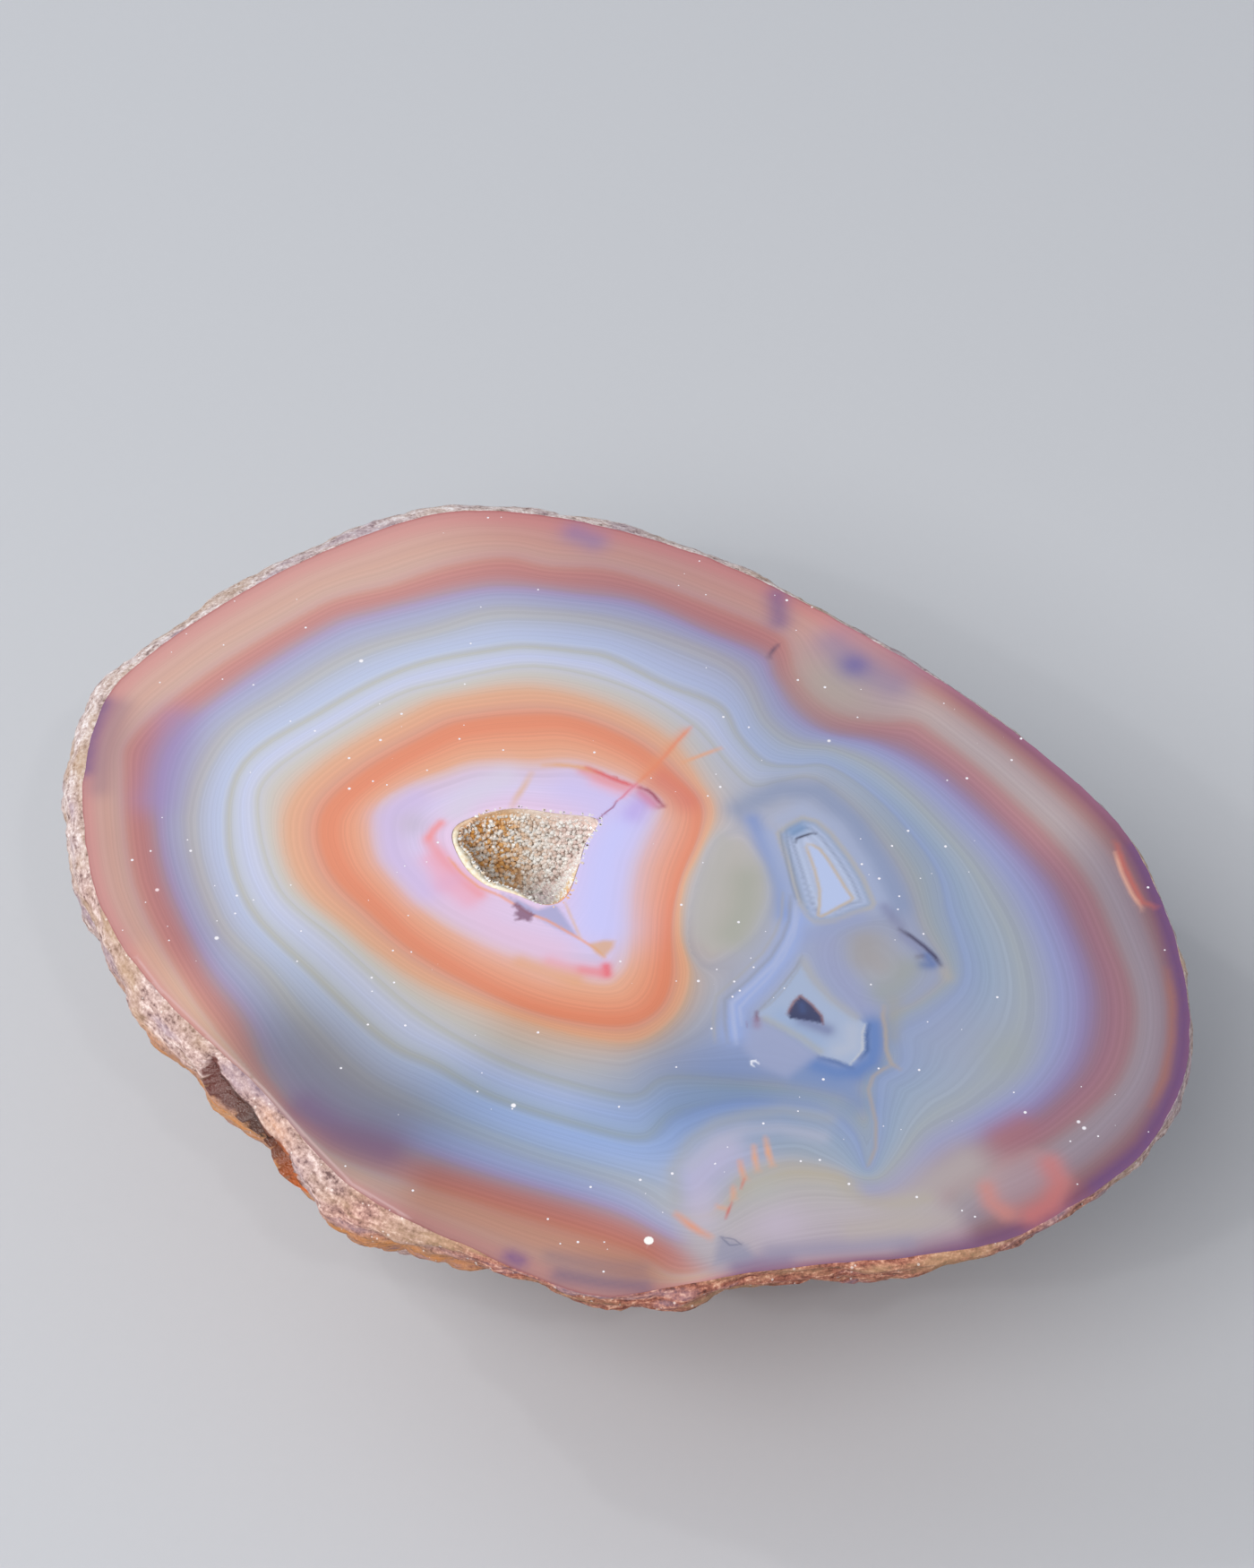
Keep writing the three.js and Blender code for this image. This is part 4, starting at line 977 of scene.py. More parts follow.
def grit_group():
    """Mineral grain: a mottled tone and a height for bump, at one grain size in millimetres."""
    given_inputs = [("Vector", None), ("Grain size", 0.5)]
    tree, given, result = new_group("Mineral grit", given_inputs, ["Tone", "Height"])
    scale = maths(tree, "DIVIDE", 1 / MM, given.outputs["Grain size"])
    place = given.outputs["Vector"]
    coarse = node(tree, "ShaderNodeTexNoise", {
        "Vector": place, "Scale": scale, "Detail": 4.0, "Roughness": 0.62,
    })
    closer = maths(tree, "MULTIPLY", scale, 1.3)
    cells = node(tree, "ShaderNodeTexVoronoi", {"Vector": place, "Scale": closer})
    grains = maths(tree, "MULTIPLY", cells.outputs["Distance"], 0.5)
    height = maths(tree, "SUBTRACT", coarse.outputs["Fac"], grains)
    tree.links.new(coarse.outputs["Fac"], result.inputs["Tone"])
    tree.links.new(height, result.inputs["Height"])
    return tree


def speck_group():
    """Scattered specks: a mask that is 1 on a few small round spots."""
    given_inputs = [("Vector", None), ("Spacing", 2.0), ("Share", 0.2), ("Radius", 0.12)]
    tree, given, result = new_group("Specks", given_inputs, ["Mask"])
    scale = maths(tree, "DIVIDE", 1 / MM, given.outputs["Spacing"])
    cells = node(tree, "ShaderNodeTexVoronoi", {"Vector": given.outputs["Vector"], "Scale": scale})
    dice = node(tree, "ShaderNodeSeparateColor", {"Color": cells.outputs["Color"]})
    reach = maths(tree, "DIVIDE", given.outputs["Radius"], given.outputs["Spacing"])
    size = maths(tree, "MULTIPLY", reach, maths(tree, "ADD", 0.4, dice.outputs["Green"]))
    near = maths(tree, "LESS_THAN", cells.outputs["Distance"], size)
    chosen = maths(tree, "LESS_THAN", dice.outputs["Red"], given.outputs["Share"])
    tree.links.new(maths(tree, "MULTIPLY", near, chosen), result.inputs["Mask"])
    return tree


def use_group(tree, name, build, inputs):
    """Places a shared group, built the first time, in a material with its own values."""
    group = bpy.data.node_groups.get(name) or build()
    return node(tree, "ShaderNodeGroup", inputs, node_tree=group).outputs


def place_of(tree):
    """Place on the object, in metres."""
    return node(tree, "ShaderNodeTexCoord").outputs["Object"]


def polished_agate(settings):
    """The cut face: bands by level of growth, marks laid over them, fine growth lines and dust."""
    material, tree, shader = new_material("polished_agate")
    place = place_of(tree)
    level = attribute(tree, "growth")
    left = ramp(tree, level, LEFT_BANDS, 0.0, OUTER_TOP)
    right = ramp(tree, level, RIGHT_BANDS, 0.0, OUTER_TOP)
    lobe = ramp(tree, level, LOBE_BANDS, 0.0, OUTER_TOP)
    core = ramp(tree, level, CORE_BANDS, OUTER_TOP, CORE_TOP)
    bands = mix(tree, attribute(tree, "dusk"), left, right)
    bands = mix(tree, attribute(tree, "lobe"), bands, lobe)
    bands = mix(tree, between(tree, level, OUTER_TOP - 0.01, OUTER_TOP + 0.01), bands, core)
    # The drifts multiply the bands: broad tints of their own colour, and painted light and shade.
    bands = mix(tree, 1.0, bands, attribute(tree, "drift", "Color"), "MULTIPLY")

    # Fine growth lines follow the level, a little uneven from place to place.
    waver = node(tree, "ShaderNodeTexNoise", {"Vector": place, "Scale": 90.0, "Detail": 2.0})
    uneven = maths(tree, "MULTIPLY", maths(tree, "SUBTRACT", waver.outputs["Fac"], 0.5), 0.12)
    lines = node(tree, "ShaderNodeTexNoise", {
        "W": maths(tree, "ADD", level, uneven), "Scale": settings.line_count,
        "Detail": 3.0, "Roughness": 0.7,
    }, noise_dimensions="1D")
    most = settings.line_strength
    light = between(tree, lines.outputs["Fac"], 0.3, 0.7, 1 - most, 1 + most)
    grey = node(tree, "ShaderNodeCombineColor", {0: light, 1: light, 2: light})
    bands = mix(tree, 1.0, bands, grey.outputs[0], "MULTIPLY")

    cover = attribute(tree, "marks", "Alpha")
    bands = mix(tree, cover, bands, (0, 0, 0, 1))
    bands = mix(tree, 1.0, bands, attribute(tree, "marks", "Color"), "ADD")
    settled = node(tree, "ShaderNodeTexNoise", {"Vector": place, "Scale": 60.0, "Detail": 2.0})
    share = between(tree, settled.outputs["Fac"], 0.4, 0.64, 0.05, 0.6)
    dust = use_group(tree, "Specks", speck_group, {
        "Vector": place, "Spacing": 1.2, "Share": share, "Radius": 0.1,
    })
    bands = mix(tree, dust["Mask"], bands, linear((244, 240, 244)))
    tree.links.new(bands, shader.inputs["Base Color"])

    # The polish is level to the eye, with a faint swell that only its reflections show.
    swell = node(tree, "ShaderNodeTexNoise", {"Vector": place, "Scale": 70.0, "Detail": 1.0})
    height = maths(tree, "ADD", swell.outputs["Fac"], maths(tree, "MULTIPLY", dust["Mask"], 1.5))
    bump = node(tree, "ShaderNodeBump", {"Height": height, "Strength": 0.12, "Distance": 0.05 * MM})
    tree.links.new(bump.outputs["Normal"], shader.inputs["Normal"])
    rough = maths(tree, "ADD", maths(tree, "MULTIPLY", dust["Mask"], 0.5), settings.polish_roughness)
    tree.links.new(rough, shader.inputs["Roughness"])
    shader.inputs["IOR"].default_value = QUARTZ_IOR
    return material


def rough_rind(settings):
    """The rind: gritty, pale and pinkish, coppery at the right front, brown to orange in its hollow, with a
    painted amber glow low on the front wall.
    """
    material, tree, shader = new_material("rough_rind")
    place = place_of(tree)
    grit = use_group(tree, "Mineral grit", grit_group, {"Vector": place, "Grain size": 0.35})
    layered = node(tree, "ShaderNodeMapping", {"Vector": place, "Scale": (1.0, 1.0, 5.0)})
    strata = use_group(tree, "Mineral grit", grit_group, {"Vector": layered.outputs[0], "Grain size": 1.3})
    broad = node(tree, "ShaderNodeTexNoise", {"Vector": layered.outputs[0], "Scale": 120.0, "Detail": 3.0})
    tone = maths(tree, "ADD", maths(tree, "MULTIPLY", grit["Tone"], 0.45),
                 maths(tree, "MULTIPLY", strata["Tone"], 0.55))
    pale = ramp(tree, tone, [
        (0.37, (128, 100, 96)), (0.46, (198, 174, 166)), (0.54, (226, 208, 202)), (0.62, (250, 242, 240)),
    ], 0.0, 1.0)
    copper = ramp(tree, tone, [
        (0.37, (92, 46, 38)), (0.46, (154, 88, 70)), (0.54, (196, 126, 102)), (0.62, (246, 190, 160)),
    ], 0.0, 1.0)
    skin = mix(tree, attribute(tree, "rust"), pale, copper)
    ochre = between(tree, broad.outputs["Fac"], 0.5, 0.66, 0.0, 0.6)
    skin = mix(tree, ochre, skin, linear((188, 152, 112)))
    lilac = between(tree, broad.outputs["Fac"], 0.46, 0.36, 0.0, 0.5)
    skin = mix(tree, lilac, skin, linear((168, 146, 164)))
    # A painted amber glow low on the front wall, broken up by the strata, with the real yellow crust high
    # on its middle.
    streaks = between(tree, strata["Tone"], 0.4, 0.58, 0.35, 1.0)
    glow_and_crust = maths(tree, "MULTIPLY", attribute(tree, "glow_and_crust"), streaks)
    skin = mix(tree, glow_and_crust, skin, linear((210, 140, 82)))
    depths = ramp(tree, node(tree, "ShaderNodeSeparateXYZ", {0: place}).outputs["X"], [
        (-0.010, (112, 62, 54)), (-0.004, (92, 62, 52)), (-0.001, (122, 66, 42)), (0.003, (216, 110, 44)),
    ], -0.02, 0.02)
    hollow = between(tree, attribute(tree, "hollow"), 0.05, 0.35)
    skin = mix(tree, hollow, skin, depths)
    sparks = use_group(tree, "Specks", speck_group, {
        "Vector": place, "Spacing": 0.5, "Share": 0.3, "Radius": 0.1,
    })
    open_air = maths(tree, "SUBTRACT", 0.6, maths(tree, "MULTIPLY", hollow, 0.5))
    skin = mix(tree, maths(tree, "MULTIPLY", sparks["Mask"], open_air), skin, linear((250, 236, 226)))
    tree.links.new(skin, shader.inputs["Base Color"])
    height = maths(tree, "ADD", grit["Height"], strata["Height"])
    bump = node(tree, "ShaderNodeBump", {"Height": height, "Strength": 0.7, "Distance": 0.14 * MM})
    tree.links.new(bump.outputs["Normal"], shader.inputs["Normal"])
    shine = maths(tree, "ADD", maths(tree, "MULTIPLY", sparks["Mask"], 0.45),
                  maths(tree, "MULTIPLY", hollow, 0.4))
    rough = maths(tree, "SUBTRACT", settings.rind_roughness, shine)
    tree.links.new(rough, shader.inputs["Roughness"])
    shader.inputs["IOR"].default_value = QUARTZ_IOR
    return material


def quartz_bed():
    """The crust that the crystals grow on: cream at its thick cut rim, stained below."""
    material, tree, shader = new_material("quartz_bed")
    place = place_of(tree)
    grit = use_group(tree, "Mineral grit", grit_group, {"Vector": place, "Grain size": 0.5})
    low = ramp(tree, grit["Tone"], [(0.3, (226, 216, 206)), (0.55, (255, 255, 255))], 0.0, 1.0)
    low = mix(tree, 1.0, low, attribute(tree, "stain", "Color"), "MULTIPLY")
    rim = ramp(tree, grit["Tone"], [(0.3, (236, 206, 156)), (0.6, (254, 246, 226))], 0.0, 1.0)
    colour = mix(tree, attribute(tree, "rim"), low, rim)
    tree.links.new(colour, shader.inputs["Base Color"])
    bump = node(tree, "ShaderNodeBump", {"Height": grit["Height"], "Strength": 0.5, "Distance": 0.15 * MM})
    tree.links.new(bump.outputs["Normal"], shader.inputs["Normal"])
    shader.inputs["Roughness"].default_value = 0.35
    shader.inputs["IOR"].default_value = QUARTZ_IOR
    return material


def clear_quartz(settings):
    """The crystals: slightly see-through quartz, stained by place, the brighter stains partly white, as
    milky quartz and as painted glints.
    """
    material, tree, shader = new_material("clear_quartz")
    tone = attribute(tree, "tone")
    stain = attribute(tree, "stain", "Color")
    bright = between(tree, node(tree, "ShaderNodeRGBToBW", {"Color": stain}).outputs["Val"], 0.1, 0.35)
    # Some crystals are painted white: partly milky quartz, partly painted glints.
    white_and_glint_share = maths(tree, "MULTIPLY", between(tree, tone, 0.2, 0.75, 0.0, 1.0), bright)
    pale = mix(tree, white_and_glint_share, stain, linear((255, 253, 248)))
    tree.links.new(pale, shader.inputs["Base Color"])
    shader.inputs["Transmission Weight"].default_value = settings.clearness
    shader.inputs["Roughness"].default_value = 0.12
    shader.inputs["IOR"].default_value = QUARTZ_IOR
    return material


def plain_floor(settings):
    """The floor: a plain pale surface with a very faint grain."""
    material, tree, shader = new_material("pale_floor")
    grain = node(tree, "ShaderNodeTexNoise", {"Vector": place_of(tree), "Scale": 900.0, "Detail": 2.0})
    base = np.array(settings.floor_colour)
    dark = (*(base * 0.985), 1.0)
    colour = mix(tree, grain.outputs["Fac"], dark, (*base, 1.0))
    tree.links.new(colour, shader.inputs["Base Color"])
    shader.inputs["Roughness"].default_value = 0.75
    return material


def padded(values, total, fill=0.0):
    """Values of the first vertices, with one fill for all the others."""
    rest = np.full((total - len(values), *values.shape[1:]), fill)
    return np.concatenate([values, rest])


def stone(settings):
    """The agate half as one closed skin: banded face, weathered side, flat foot and the pocket's wall."""
    places = even_places(CUT_EDGE, settings.points_round)
    downs = np.linspace(0, 1, settings.rows_down + 1)
    side, away, share = side_rows(places, downs)
    ragged = noise_at(side[0], 3.0, 8.8) * RAGGED_BROAD + noise_at(side[0], 0.9, 1.8) * RAGGED_FINE
    side[0, :, :2] += away[0, :, :2] * ragged[:, None]
    _, hollow = hollowed(side, away)
    side[1:] = weathered(side[1:], away[1:], share[1:], hollow[1:], settings)
    side[1:] = hollowed(side[1:], away[1:])[0]
    side[-1, :, 2] = 0.0
    side[1:-1, :, 2] = np.maximum(side[1:-1, :, 2], 0.02)

    mouth_places = even_places(POCKET_EDGE, settings.points_round // 5)
    pocket = pocket_rows(mouth_places, np.linspace(0, POCKET_END, POCKET_ROWS), 0.0)
    xy, triangles = meshed_face(side[0, :, :2], pocket[0, :, :2], settings.face_spacing)
    points = [np.column_stack([xy, np.full(len(xy), FACE)])]
    faces = triangles.tolist()
    flat_faces = len(faces)
    rim = list(range(side.shape[1]))
    mouth = list(range(side.shape[1], side.shape[1] + pocket.shape[1]))

    centre = np.array([*FOOT_CENTRE, 0.0])
    foot = [centre + (side[-1] - centre) * inward for inward in (0.66, 0.33)]
    ring = add_rows(points, faces, rim, [*side[1:], *foot])
    close_ring(points, faces, ring, centre)
    ring = add_rows(points, faces, mouth, pocket[1:], facing_in=True)
    close_ring(points, faces, ring, [*POCKET_CENTRE, pocket[-1, 0, 2]], facing_in=True)
    points = np.concatenate(points)

    piece = new_piece("agate_stone", points, faces, [polished_agate(settings), rough_rind(settings)])
    mesh = piece.data
    index = np.ones(len(mesh.polygons), dtype=np.int32)
    index[:flat_faces] = 0
    mesh.polygons.foreach_set("material_index", index)
    mesh.polygons.foreach_set("use_smooth", index.astype(bool))

    total = len(points)
    dusk = step(*DUSK_ACROSS, xy @ np.array(DUSK_WAY)) * step(*DUSK_FROM_FRONT, xy[:, 1])
    lobe = step(-LOBE_FADE, LOBE_FADE, depth_inside(xy, outline(LOBE)))
    in_hollow = np.concatenate([np.zeros(len(xy)), hollow[1:].ravel()])
    store(mesh, "growth", "FLOAT", padded(growth_level(xy), total))
    store(mesh, "dusk", "FLOAT", padded(dusk, total))
    store(mesh, "lobe", "FLOAT", padded(lobe, total))
    store(mesh, "marks", "FLOAT_COLOR", padded(painted(xy), total))
    store(mesh, "drift", "FLOAT_COLOR", padded(drifts(xy), total, 1.0))
    store(mesh, "rust", "FLOAT", rust_at(points))
    store(mesh, "glow_and_crust", "FLOAT", glow_and_crust_at(points))
    store(mesh, "hollow", "FLOAT", padded(in_hollow, total))
    return piece


def crust_inset(places):
    """How thick the crust's cut rim is round the mouth: widest at the lower left, thin at the top."""
    edge = smooth_loop(POCKET_EDGE, places)
    turn = np.degrees(np.arctan2(edge[:, 1] - POCKET_CENTRE[1], edge[:, 0] - POCKET_CENTRE[0]))
    away = (turn - RIM_TURN + 180) % 360 - 180
    uneven = 1 + 0.35 * np.sin(places * 5) * np.sin(places * 2.3)
    return RIM_THIN + (RIM_THICK - RIM_THIN) * np.exp(-(away / RIM_SPREAD) ** 4) * uneven


def crust_thickness(places, downs):
    """How thick the crust is at each place round the pocket and each row down it."""
    deep = step(0.0, 0.6, downs)[:, None]
    return crust_inset(places)[None, :] * (1 - deep) + CRUST_THICK * deep


def crust_bed():
    """The crust under the crystals: a closed bowl whose cut rim lies level with the face."""
    places = even_places(POCKET_EDGE, CRUST_ROUND)
    downs = np.linspace(0, POCKET_END, CRUST_ROWS)
    outer = pocket_rows(places, downs, 0.06)
    inner = pocket_rows(places, downs, crust_thickness(places, downs))
    inner += 0.16 * noise_at(inner, 1.1, 4.4)[..., None]
    outer[0, :, 2] = FACE - 0.02
    inner[0, :, 2] = FACE - 0.04
    rings = [*outer[::-1], *inner]
    points = [rings[0]]
    faces = []
    first = list(range(len(places)))
    last = add_rows(points, faces, first, rings[1:], facing_in=True)
    close_ring(points, faces, first, [*POCKET_CENTRE, outer[-1, 0, 2]])
    close_ring(points, faces, last, [*POCKET_CENTRE, inner[-1, :, 2].mean()], facing_in=True)
    points = np.concatenate(points)
    piece = new_piece("quartz_crust_bed", points, faces, [quartz_bed()])
    mesh = piece.data
    mesh.polygons.foreach_set("use_smooth", np.ones(len(mesh.polygons), dtype=bool))
    thick = np.tile(step(0.25, 0.5, crust_inset(places)), len(rings))
    rim = step(FACE - 0.6, FACE - 0.1, points[:, 2])
    rim[:len(thick)] *= thick
    store(mesh, "rim", "FLOAT", rim)
    store(mesh, "stain", "FLOAT_COLOR", crystal_stain(points))
    return piece


def crystal_stain(points):
    """The colour of the crystals by place, the nearest stains weighing most, whiter at the mouth."""
    total = np.full((len(points), 1), 1e-4)
    colour = np.array(linear((236, 212, 180))) * total
    for x, y, radius, stain in CRYSTAL_STAINS:
        weight = np.exp(-((points[:, 0] - x) ** 2 + (points[:, 1] - y) ** 2) / radius ** 2)[:, None]
        colour = colour + np.array(linear(stain)) * weight
        total = total + weight
    white = step(FACE - 1.0, FACE - 0.2, points[:, 2])[:, None] * 0.4
    return colour / total * (1 - white) + np.array(linear((252, 238, 230))) * white


def crystal_tree(material):
    """Geometry nodes that grow six-sided pointed crystals over a surface."""
    tree = bpy.data.node_groups.new("Grow crystals", "GeometryNodeTree")
    sockets = [
        ("Geometry", "NodeSocketGeometry"), ("Crystals per square metre", "NodeSocketFloat"),
        ("Radius", "NodeSocketFloat"), ("Length", "NodeSocketFloat"), ("Lean", "NodeSocketFloat"),
        ("Seed", "NodeSocketInt"),
    ]
    for name, kind in sockets:
        tree.interface.new_socket(name, in_out="INPUT", socket_type=kind)
    tree.interface.new_socket("Geometry", in_out="OUTPUT", socket_type="NodeSocketGeometry")
    given = tree.nodes.new("NodeGroupInput").outputs
    scatter = node(tree, "GeometryNodeDistributePointsOnFaces", {
        "Mesh": given["Geometry"], "Density": given["Crystals per square metre"], "Seed": given["Seed"],
    })
    tone = node(tree, "FunctionNodeRandomValue", {"Seed": 5}, data_type="FLOAT")
    toned = node(tree, "GeometryNodeStoreNamedAttribute", {
        "Geometry": scatter.outputs["Points"], "Name": "tone", "Value": tone.outputs[1],
    }, data_type="FLOAT", domain="POINT")

    # One crystal: a prism on the ground with a pointed cap on it, both six-sided.
    shoulder = maths(tree, "MULTIPLY", given["Radius"], 0.93)
    body = maths(tree, "MULTIPLY", given["Length"], 0.6)
    prism = node(tree, "GeometryNodeMeshCone", {
        "Vertices": 6, "Radius Top": shoulder, "Radius Bottom": given["Radius"], "Depth": body,
    })
    point = node(tree, "GeometryNodeMeshCone", {
        "Vertices": 6, "Radius Top": 0.0, "Radius Bottom": shoulder,
        "Depth": maths(tree, "MULTIPLY", given["Length"], 0.4),
    })
    lift = node(tree, "ShaderNodeCombineXYZ", {"Z": body})
    raised = node(tree, "GeometryNodeTransform", {
        "Geometry": point.outputs["Mesh"], "Translation": lift.outputs["Vector"],
    })
    crystal = tree.nodes.new("GeometryNodeJoinGeometry")
    tree.links.new(raised.outputs["Geometry"], crystal.inputs["Geometry"])
    tree.links.new(prism.outputs["Mesh"], crystal.inputs["Geometry"])

    lean = node(tree, "FunctionNodeRandomValue", {"Seed": 11}, data_type="FLOAT_VECTOR")
    lean.inputs[0].default_value = (-1, -1, -0.3)
    lean.inputs[1].default_value = (1, 1, 1)
    tilt = node(tree, "ShaderNodeVectorMath", {
        0: lean.outputs[0], "Scale": given["Lean"],
    }, operation="SCALE")
    way = node(tree, "ShaderNodeVectorMath", {
        0: scatter.outputs["Normal"], 1: tilt.outputs[0],
    }, operation="ADD")
    stand = node(tree, "FunctionNodeAlignRotationToVector", {"Vector": way.outputs[0]}, axis="Z")
    spin = node(tree, "FunctionNodeRandomValue", {"Seed": 17}, data_type="FLOAT")
    turn = node(tree, "ShaderNodeCombineXYZ", {"Z": maths(tree, "MULTIPLY", spin.outputs[1], 6.283)})
    turned = node(tree, "FunctionNodeRotateRotation", {
        "Rotation": stand.outputs[0], "Rotate By": turn.outputs["Vector"],
    }, rotation_space="LOCAL")
    size = node(tree, "FunctionNodeRandomValue", {"Seed": 23}, data_type="FLOAT")
    room = node(tree, "GeometryNodeInputNamedAttribute", {"Name": "room"}, data_type="FLOAT")
    grown_to = maths(tree, "ADD", maths(tree, "MULTIPLY", size.outputs[1], 0.75), 0.55)
    scale = maths(tree, "MULTIPLY", grown_to, room.outputs["Attribute"])
    grown = node(tree, "GeometryNodeInstanceOnPoints", {
        "Points": toned.outputs["Geometry"], "Instance": crystal.outputs["Geometry"],
        "Rotation": turned.outputs[0], "Scale": scale,
    })
    real = node(tree, "GeometryNodeRealizeInstances", {"Geometry": grown.outputs["Instances"]})
    flat = node(tree, "GeometryNodeSetShadeSmooth", {
        "Geometry": real.outputs["Geometry"], "Shade Smooth": False,
    })
    dressed = node(tree, "GeometryNodeSetMaterial", {
        "Geometry": flat.outputs["Geometry"], "Material": material,
    })
    result = tree.nodes.new("NodeGroupOutput")
    tree.links.new(dressed.outputs["Geometry"], result.inputs["Geometry"])
    return tree


def apply_nodes(name, points, faces, layers, tree, values):
    """Runs a geometry nodes tree on a mesh and keeps only its result, as a plain mesh object."""
    seedbed = new_piece(name + "_seedbed", points, faces, [])
    for layer in layers:
        store(seedbed.data, *layer)
    grown = seedbed.modifiers.new("Grow", "NODES")
    grown.node_group = tree
    for socket in tree.interface.items_tree:
        if socket.in_out == "INPUT" and socket.name in values:
            grown[socket.identifier] = values[socket.name]
    evaluated = seedbed.evaluated_get(bpy.context.evaluated_depsgraph_get())
    mesh = bpy.data.meshes.new_from_object(evaluated)
    mesh.name = name
    seedbed.modifiers.remove(grown)
    bpy.data.objects.remove(seedbed)
    piece = bpy.data.objects.new(name, mesh)
    bpy.context.scene.collection.objects.link(piece)
    return piece


def crystals(settings):
    """The druse: crystals grown over the inside of the crust, smaller towards the mouth."""
    places = even_places(POCKET_EDGE, CRUST_ROUND)
    downs = np.linspace(0, POCKET_END, SEEDBED_ROWS)
    fringe = step(0.3, 0.1, crust_inset(places))[None, :] * step(0.14, 0.0, downs)[:, None]
    rows = pocket_rows(places, downs, crust_thickness(places, downs) + 0.05 - FRINGE * fringe)
    points = [rows[0]]
    faces = []
    ring = add_rows(points, faces, list(range(len(places))), rows[1:], facing_in=True)
    close_ring(points, faces, ring, [*POCKET_CENTRE, rows[-1, :, 2].mean()], facing_in=True)
    points = np.concatenate(points)
    room = 0.6 + 0.4 * step(0.1, 1.6, FACE - points[:, 2])
    layers = [("room", "FLOAT", room), ("stain", "FLOAT_COLOR", crystal_stain(points))]
    tree = crystal_tree(clear_quartz(settings))
    piece = apply_nodes("quartz_druse", points, faces, layers, tree, {
        "Crystals per square metre": settings.crystals_per_mm2 / MM ** 2,
        "Radius": settings.crystal_radius,
        "Length": settings.crystal_length,
        "Lean": settings.crystal_lean,
        "Seed": 7,
    })

    # The saw cut the crystals of the mouth level with the face.
    for vertex in piece.data.vertices:
        vertex.co.z = min(vertex.co.z, (FACE + SAWN) * MM)
    return piece


class StoneSettings(bpy.types.PropertyGroup):
    """How fine the stone's mesh is, and how its surfaces look"""

    points_round: bpy.props.IntProperty(
        name="Points round", description="Vertices round the cut edge", default=520, min=60)
    rows_down: bpy.props.IntProperty(
        name="Rows down", description="Rows of vertices from the cut edge to the foot", default=100, min=10)
    face_spacing: bpy.props.FloatProperty(
        name="Face spacing", description="Spacing of the vertices on the cut face in millimetres",
        default=0.62, min=0.2)
    rind_relief: bpy.props.FloatProperty(
        name="Rind relief", description="Height of the rind's fine relief, as named at 0.5",
        default=0.5, min=0.0)
    polish_roughness: bpy.props.FloatProperty(
        name="Polish", description="Roughness of the polished face", default=0.08, min=0.0, max=1.0,
        subtype="FACTOR")
    rind_roughness: bpy.props.FloatProperty(
        name="Rind roughness", description="Roughness of the rind", default=0.72, min=0.0, max=1.0,
        subtype="FACTOR")
    line_count: bpy.props.FloatProperty(
        name="Growth lines", description="Fine growth lines in each band", default=11.0, min=0.0)
    line_strength: bpy.props.FloatProperty(
        name="Line strength", description="How far a growth line lightens or darkens its band",
        default=0.05, min=0.0, max=1.0, subtype="FACTOR")


class DruseSettings(bpy.types.PropertyGroup):
    """How many crystals line the pocket, their size, lean and clearness"""

    crystals_per_mm2: bpy.props.FloatProperty(
        name="Crystals", description="Crystals in each square millimetre of crust", default=15.0, min=0.1)
    crystal_radius: bpy.props.FloatProperty(
        name="Radius", description="Radius of a middling crystal", default=0.2 * MM, min=0.0, unit="LENGTH")
    crystal_length: bpy.props.FloatProperty(
        name="Length", description="Length of a middling crystal", default=0.5 * MM, min=0.0, unit="LENGTH")
    crystal_lean: bpy.props.FloatProperty(
        name="Lean", description="How far crystals lean from straight out", default=0.55, min=0.0)
    clearness: bpy.props.FloatProperty(
        name="Clearness", description="How much light passes through the crystals", default=0.12, min=0.0,
        max=1.0, subtype="FACTOR")


class StageSettings(bpy.types.PropertyGroup):
    """The floor's colour and the power of the lights"""

    floor_colour: bpy.props.FloatVectorProperty(
        name="Floor", description="Colour of the floor", default=(0.58, 0.59, 0.61), size=3,
        subtype="COLOR", min=0.0, max=1.0)
    key_power: bpy.props.FloatProperty(
        name="Key light", description="Power of the large soft light", default=8.3, min=0.0, unit="POWER")
    glint_power: bpy.props.FloatProperty(
        name="Glint light", description="Power of each small light that makes crystals sparkle",
        default=0.45, min=0.0, unit="POWER")
    sky_strength: bpy.props.FloatProperty(
        name="Sky", description="Strength of the even light from all round", default=0.44, min=0.0)


class AGATE_OT_stone(bpy.types.Operator):
    """Build the banded stone with its polished face, rind and hollow"""

    bl_idname = "agate.stone"
    bl_label = "Stone"

    def execute(self, context):
        piece = stone(context.scene.agate_stone)
        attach(piece, "root")
        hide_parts("agate_half")
        return {"FINISHED"}


class AGATE_OT_druse(bpy.types.Operator):
    """Build the crust of the pocket and grow its quartz crystals"""

    bl_idname = "agate.druse"
    bl_label = "Quartz druse"

    def execute(self, context):
        settings = context.scene.agate_druse
        for piece in (crust_bed(), crystals(settings)):
            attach(piece, "root")
            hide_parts("quartz_crust")
        return {"FINISHED"}


def area_light(name, place, size, colour, power):
    """A square light at place that faces the stone."""
    data = bpy.data.lights.new(name, "AREA")
    data.energy = power
    data.size = size
    data.color = colour
    light = bpy.data.objects.new(name, data)
    light.location = place
    light.rotation_euler = (Vector(LIGHT_AIM) - Vector(place)).to_track_quat("-Z", "Y").to_euler()
    bpy.context.scene.collection.objects.link(light)


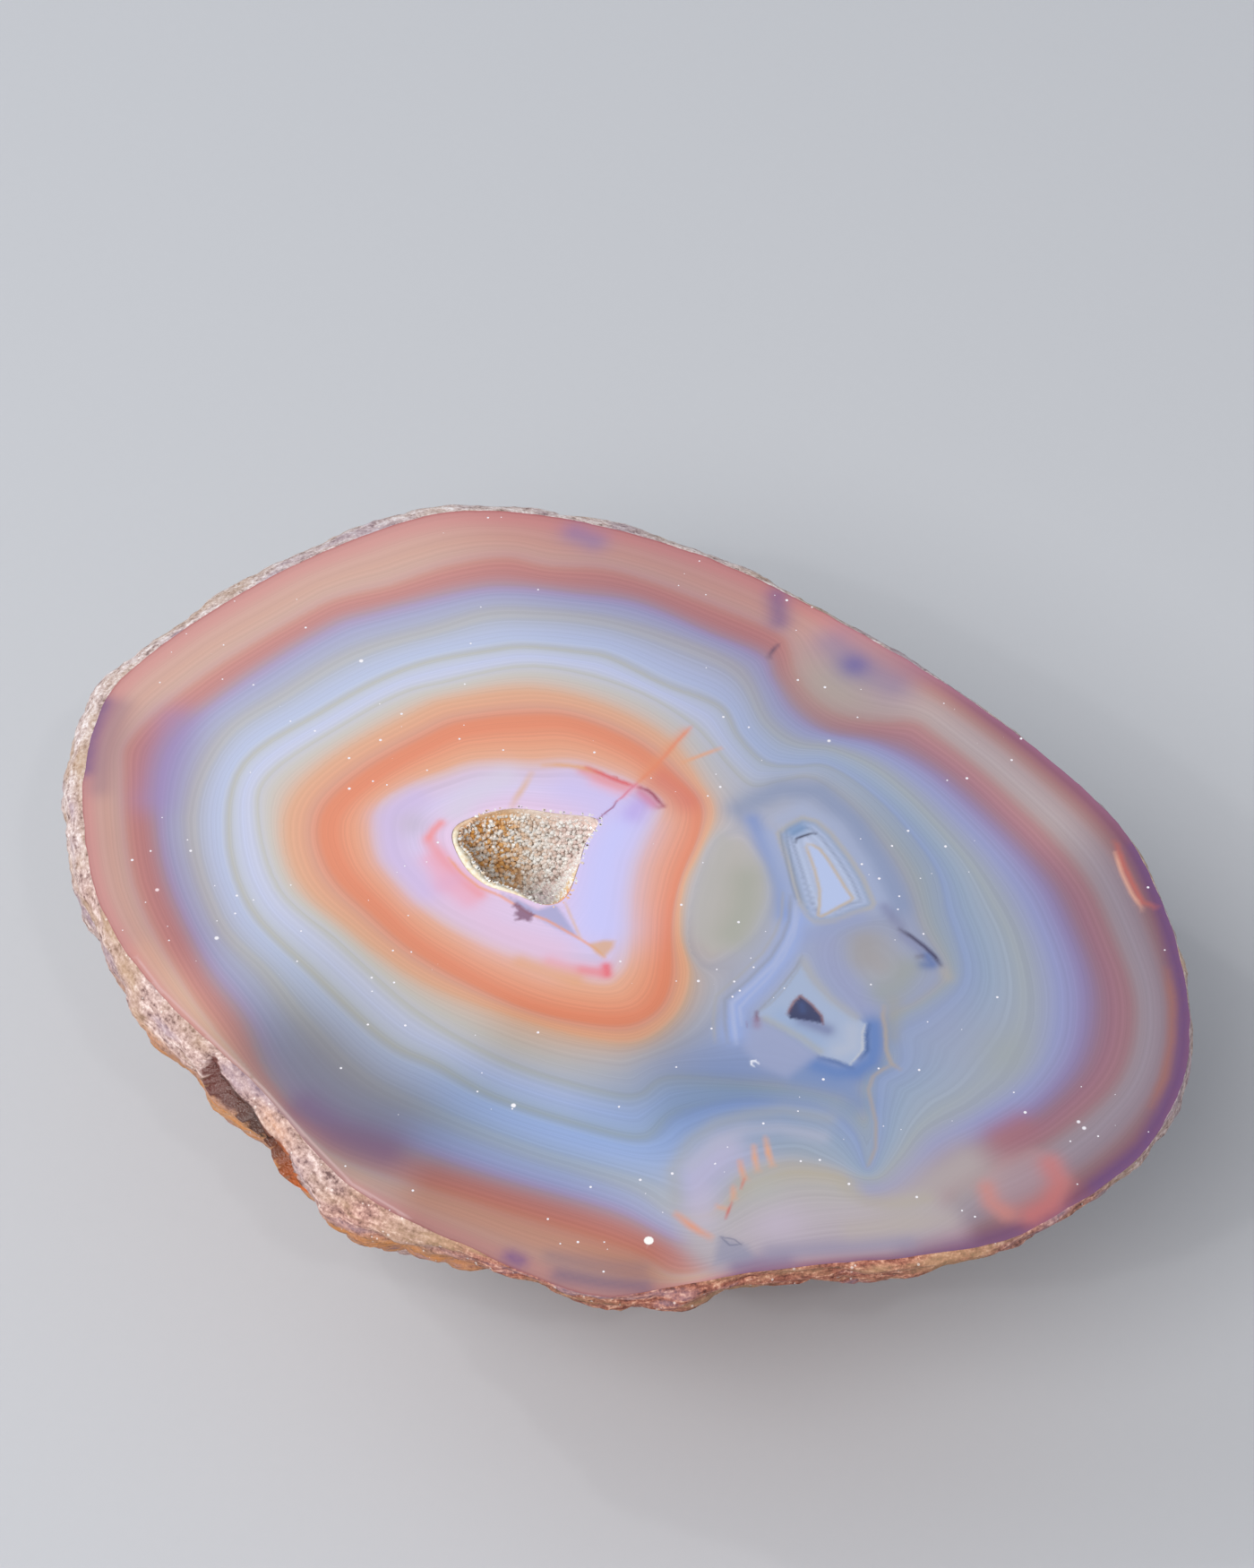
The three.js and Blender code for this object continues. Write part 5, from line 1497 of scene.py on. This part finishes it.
class AGATE_OT_stage(bpy.types.Operator):
    """Set the floor, the lights and the camera"""

    bl_idname = "agate.stage"
    bl_label = "Stage"

    def execute(self, context):
        settings = context.scene.agate_stage
        corners = np.array([(-1, -1, 0), (1, -1, 0), (1, 1, 0), (-1, 1, 0)]) * FLOOR_HALF
        floor = new_piece("stage_floor", corners, [(0, 1, 2, 3)], [plain_floor(settings)])
        area_light("key_light", *KEY_LIGHT, settings.key_power)
        area_light("side_light", *SIDE_LIGHT, settings.key_power * SIDE_SHARE)
        for k, place in enumerate(GLINT_PLACES):
            area_light(f"glint_light_{k}", place, GLINT_SIZE, (1.0, 1.0, 1.0), settings.glint_power)
        world = bpy.data.worlds.new("soft_sky")
        world.use_nodes = True
        sky = world.node_tree.nodes["Background"]
        sky.inputs["Color"].default_value = SKY_COLOUR
        sky.inputs["Strength"].default_value = settings.sky_strength
        context.scene.world = world
        context.scene.view_settings.view_transform = "Standard"
        self.camera(context)
        return {"FINISHED"}

    def camera(self, context):
        """Sets the camera at the photograph's angle"""
        data = bpy.data.cameras.new("camera")
        data.lens = CAMERA_LENS
        data.clip_start = 0.01
        turn, lift = math.radians(CAMERA_AZIMUTH), math.radians(CAMERA_ELEVATION)
        back = Vector((math.sin(turn) * math.cos(lift), -math.cos(turn) * math.cos(lift), math.sin(lift)))
        camera = bpy.data.objects.new("camera", data)
        camera.location = Vector((*CAMERA_AIM, FACE)) * MM + back * CAMERA_DISTANCE * MM
        camera.rotation_euler = (-back).to_track_quat("-Z", "Y").to_euler()
        context.scene.collection.objects.link(camera)
        context.scene.camera = camera


class AGATE_PT_panel(bpy.types.Panel):
    """Lists what the agate half is made of"""

    bl_idname = "AGATE_PT_panel"
    bl_label = "Agate Half"
    bl_space_type = "VIEW_3D"
    bl_region_type = "UI"
    bl_category = "Agate"

    def draw(self, context):
        for group, operator in PARTS:
            box = self.layout.box()
            settings = getattr(context.scene, group)
            for name in settings.bl_rna.properties.keys():
                if name not in ("rna_type", "name"):
                    box.prop(settings, name)
            box.operator(operator)


PARTS = [("agate_stone", "agate.stone"), ("agate_druse", "agate.druse"), ("agate_stage", "agate.stage")]
SETTINGS = {"agate_stone": StoneSettings, "agate_druse": DruseSettings, "agate_stage": StageSettings}
CLASSES = [*SETTINGS.values(), AGATE_OT_stone, AGATE_OT_druse, AGATE_OT_stage, AGATE_PT_panel]


def register():
    """Registers the settings, operators and panel."""
    for item in CLASSES:
        bpy.utils.register_class(item)
    for name, item in SETTINGS.items():
        setattr(bpy.types.Scene, name, bpy.props.PointerProperty(type=item))


def unregister():
    """Takes away what register added."""
    for name in SETTINGS:
        delattr(bpy.types.Scene, name)
    for item in reversed(CLASSES):
        bpy.utils.unregister_class(item)


def main():
    """Builds the stage, the stone and the druse."""
    register()
    bpy.ops.agate.stage()
    bpy.ops.agate.stone()
    bpy.ops.agate.druse()
    bpy.context.view_layer.update()


if __name__ == "__main__":
    main()
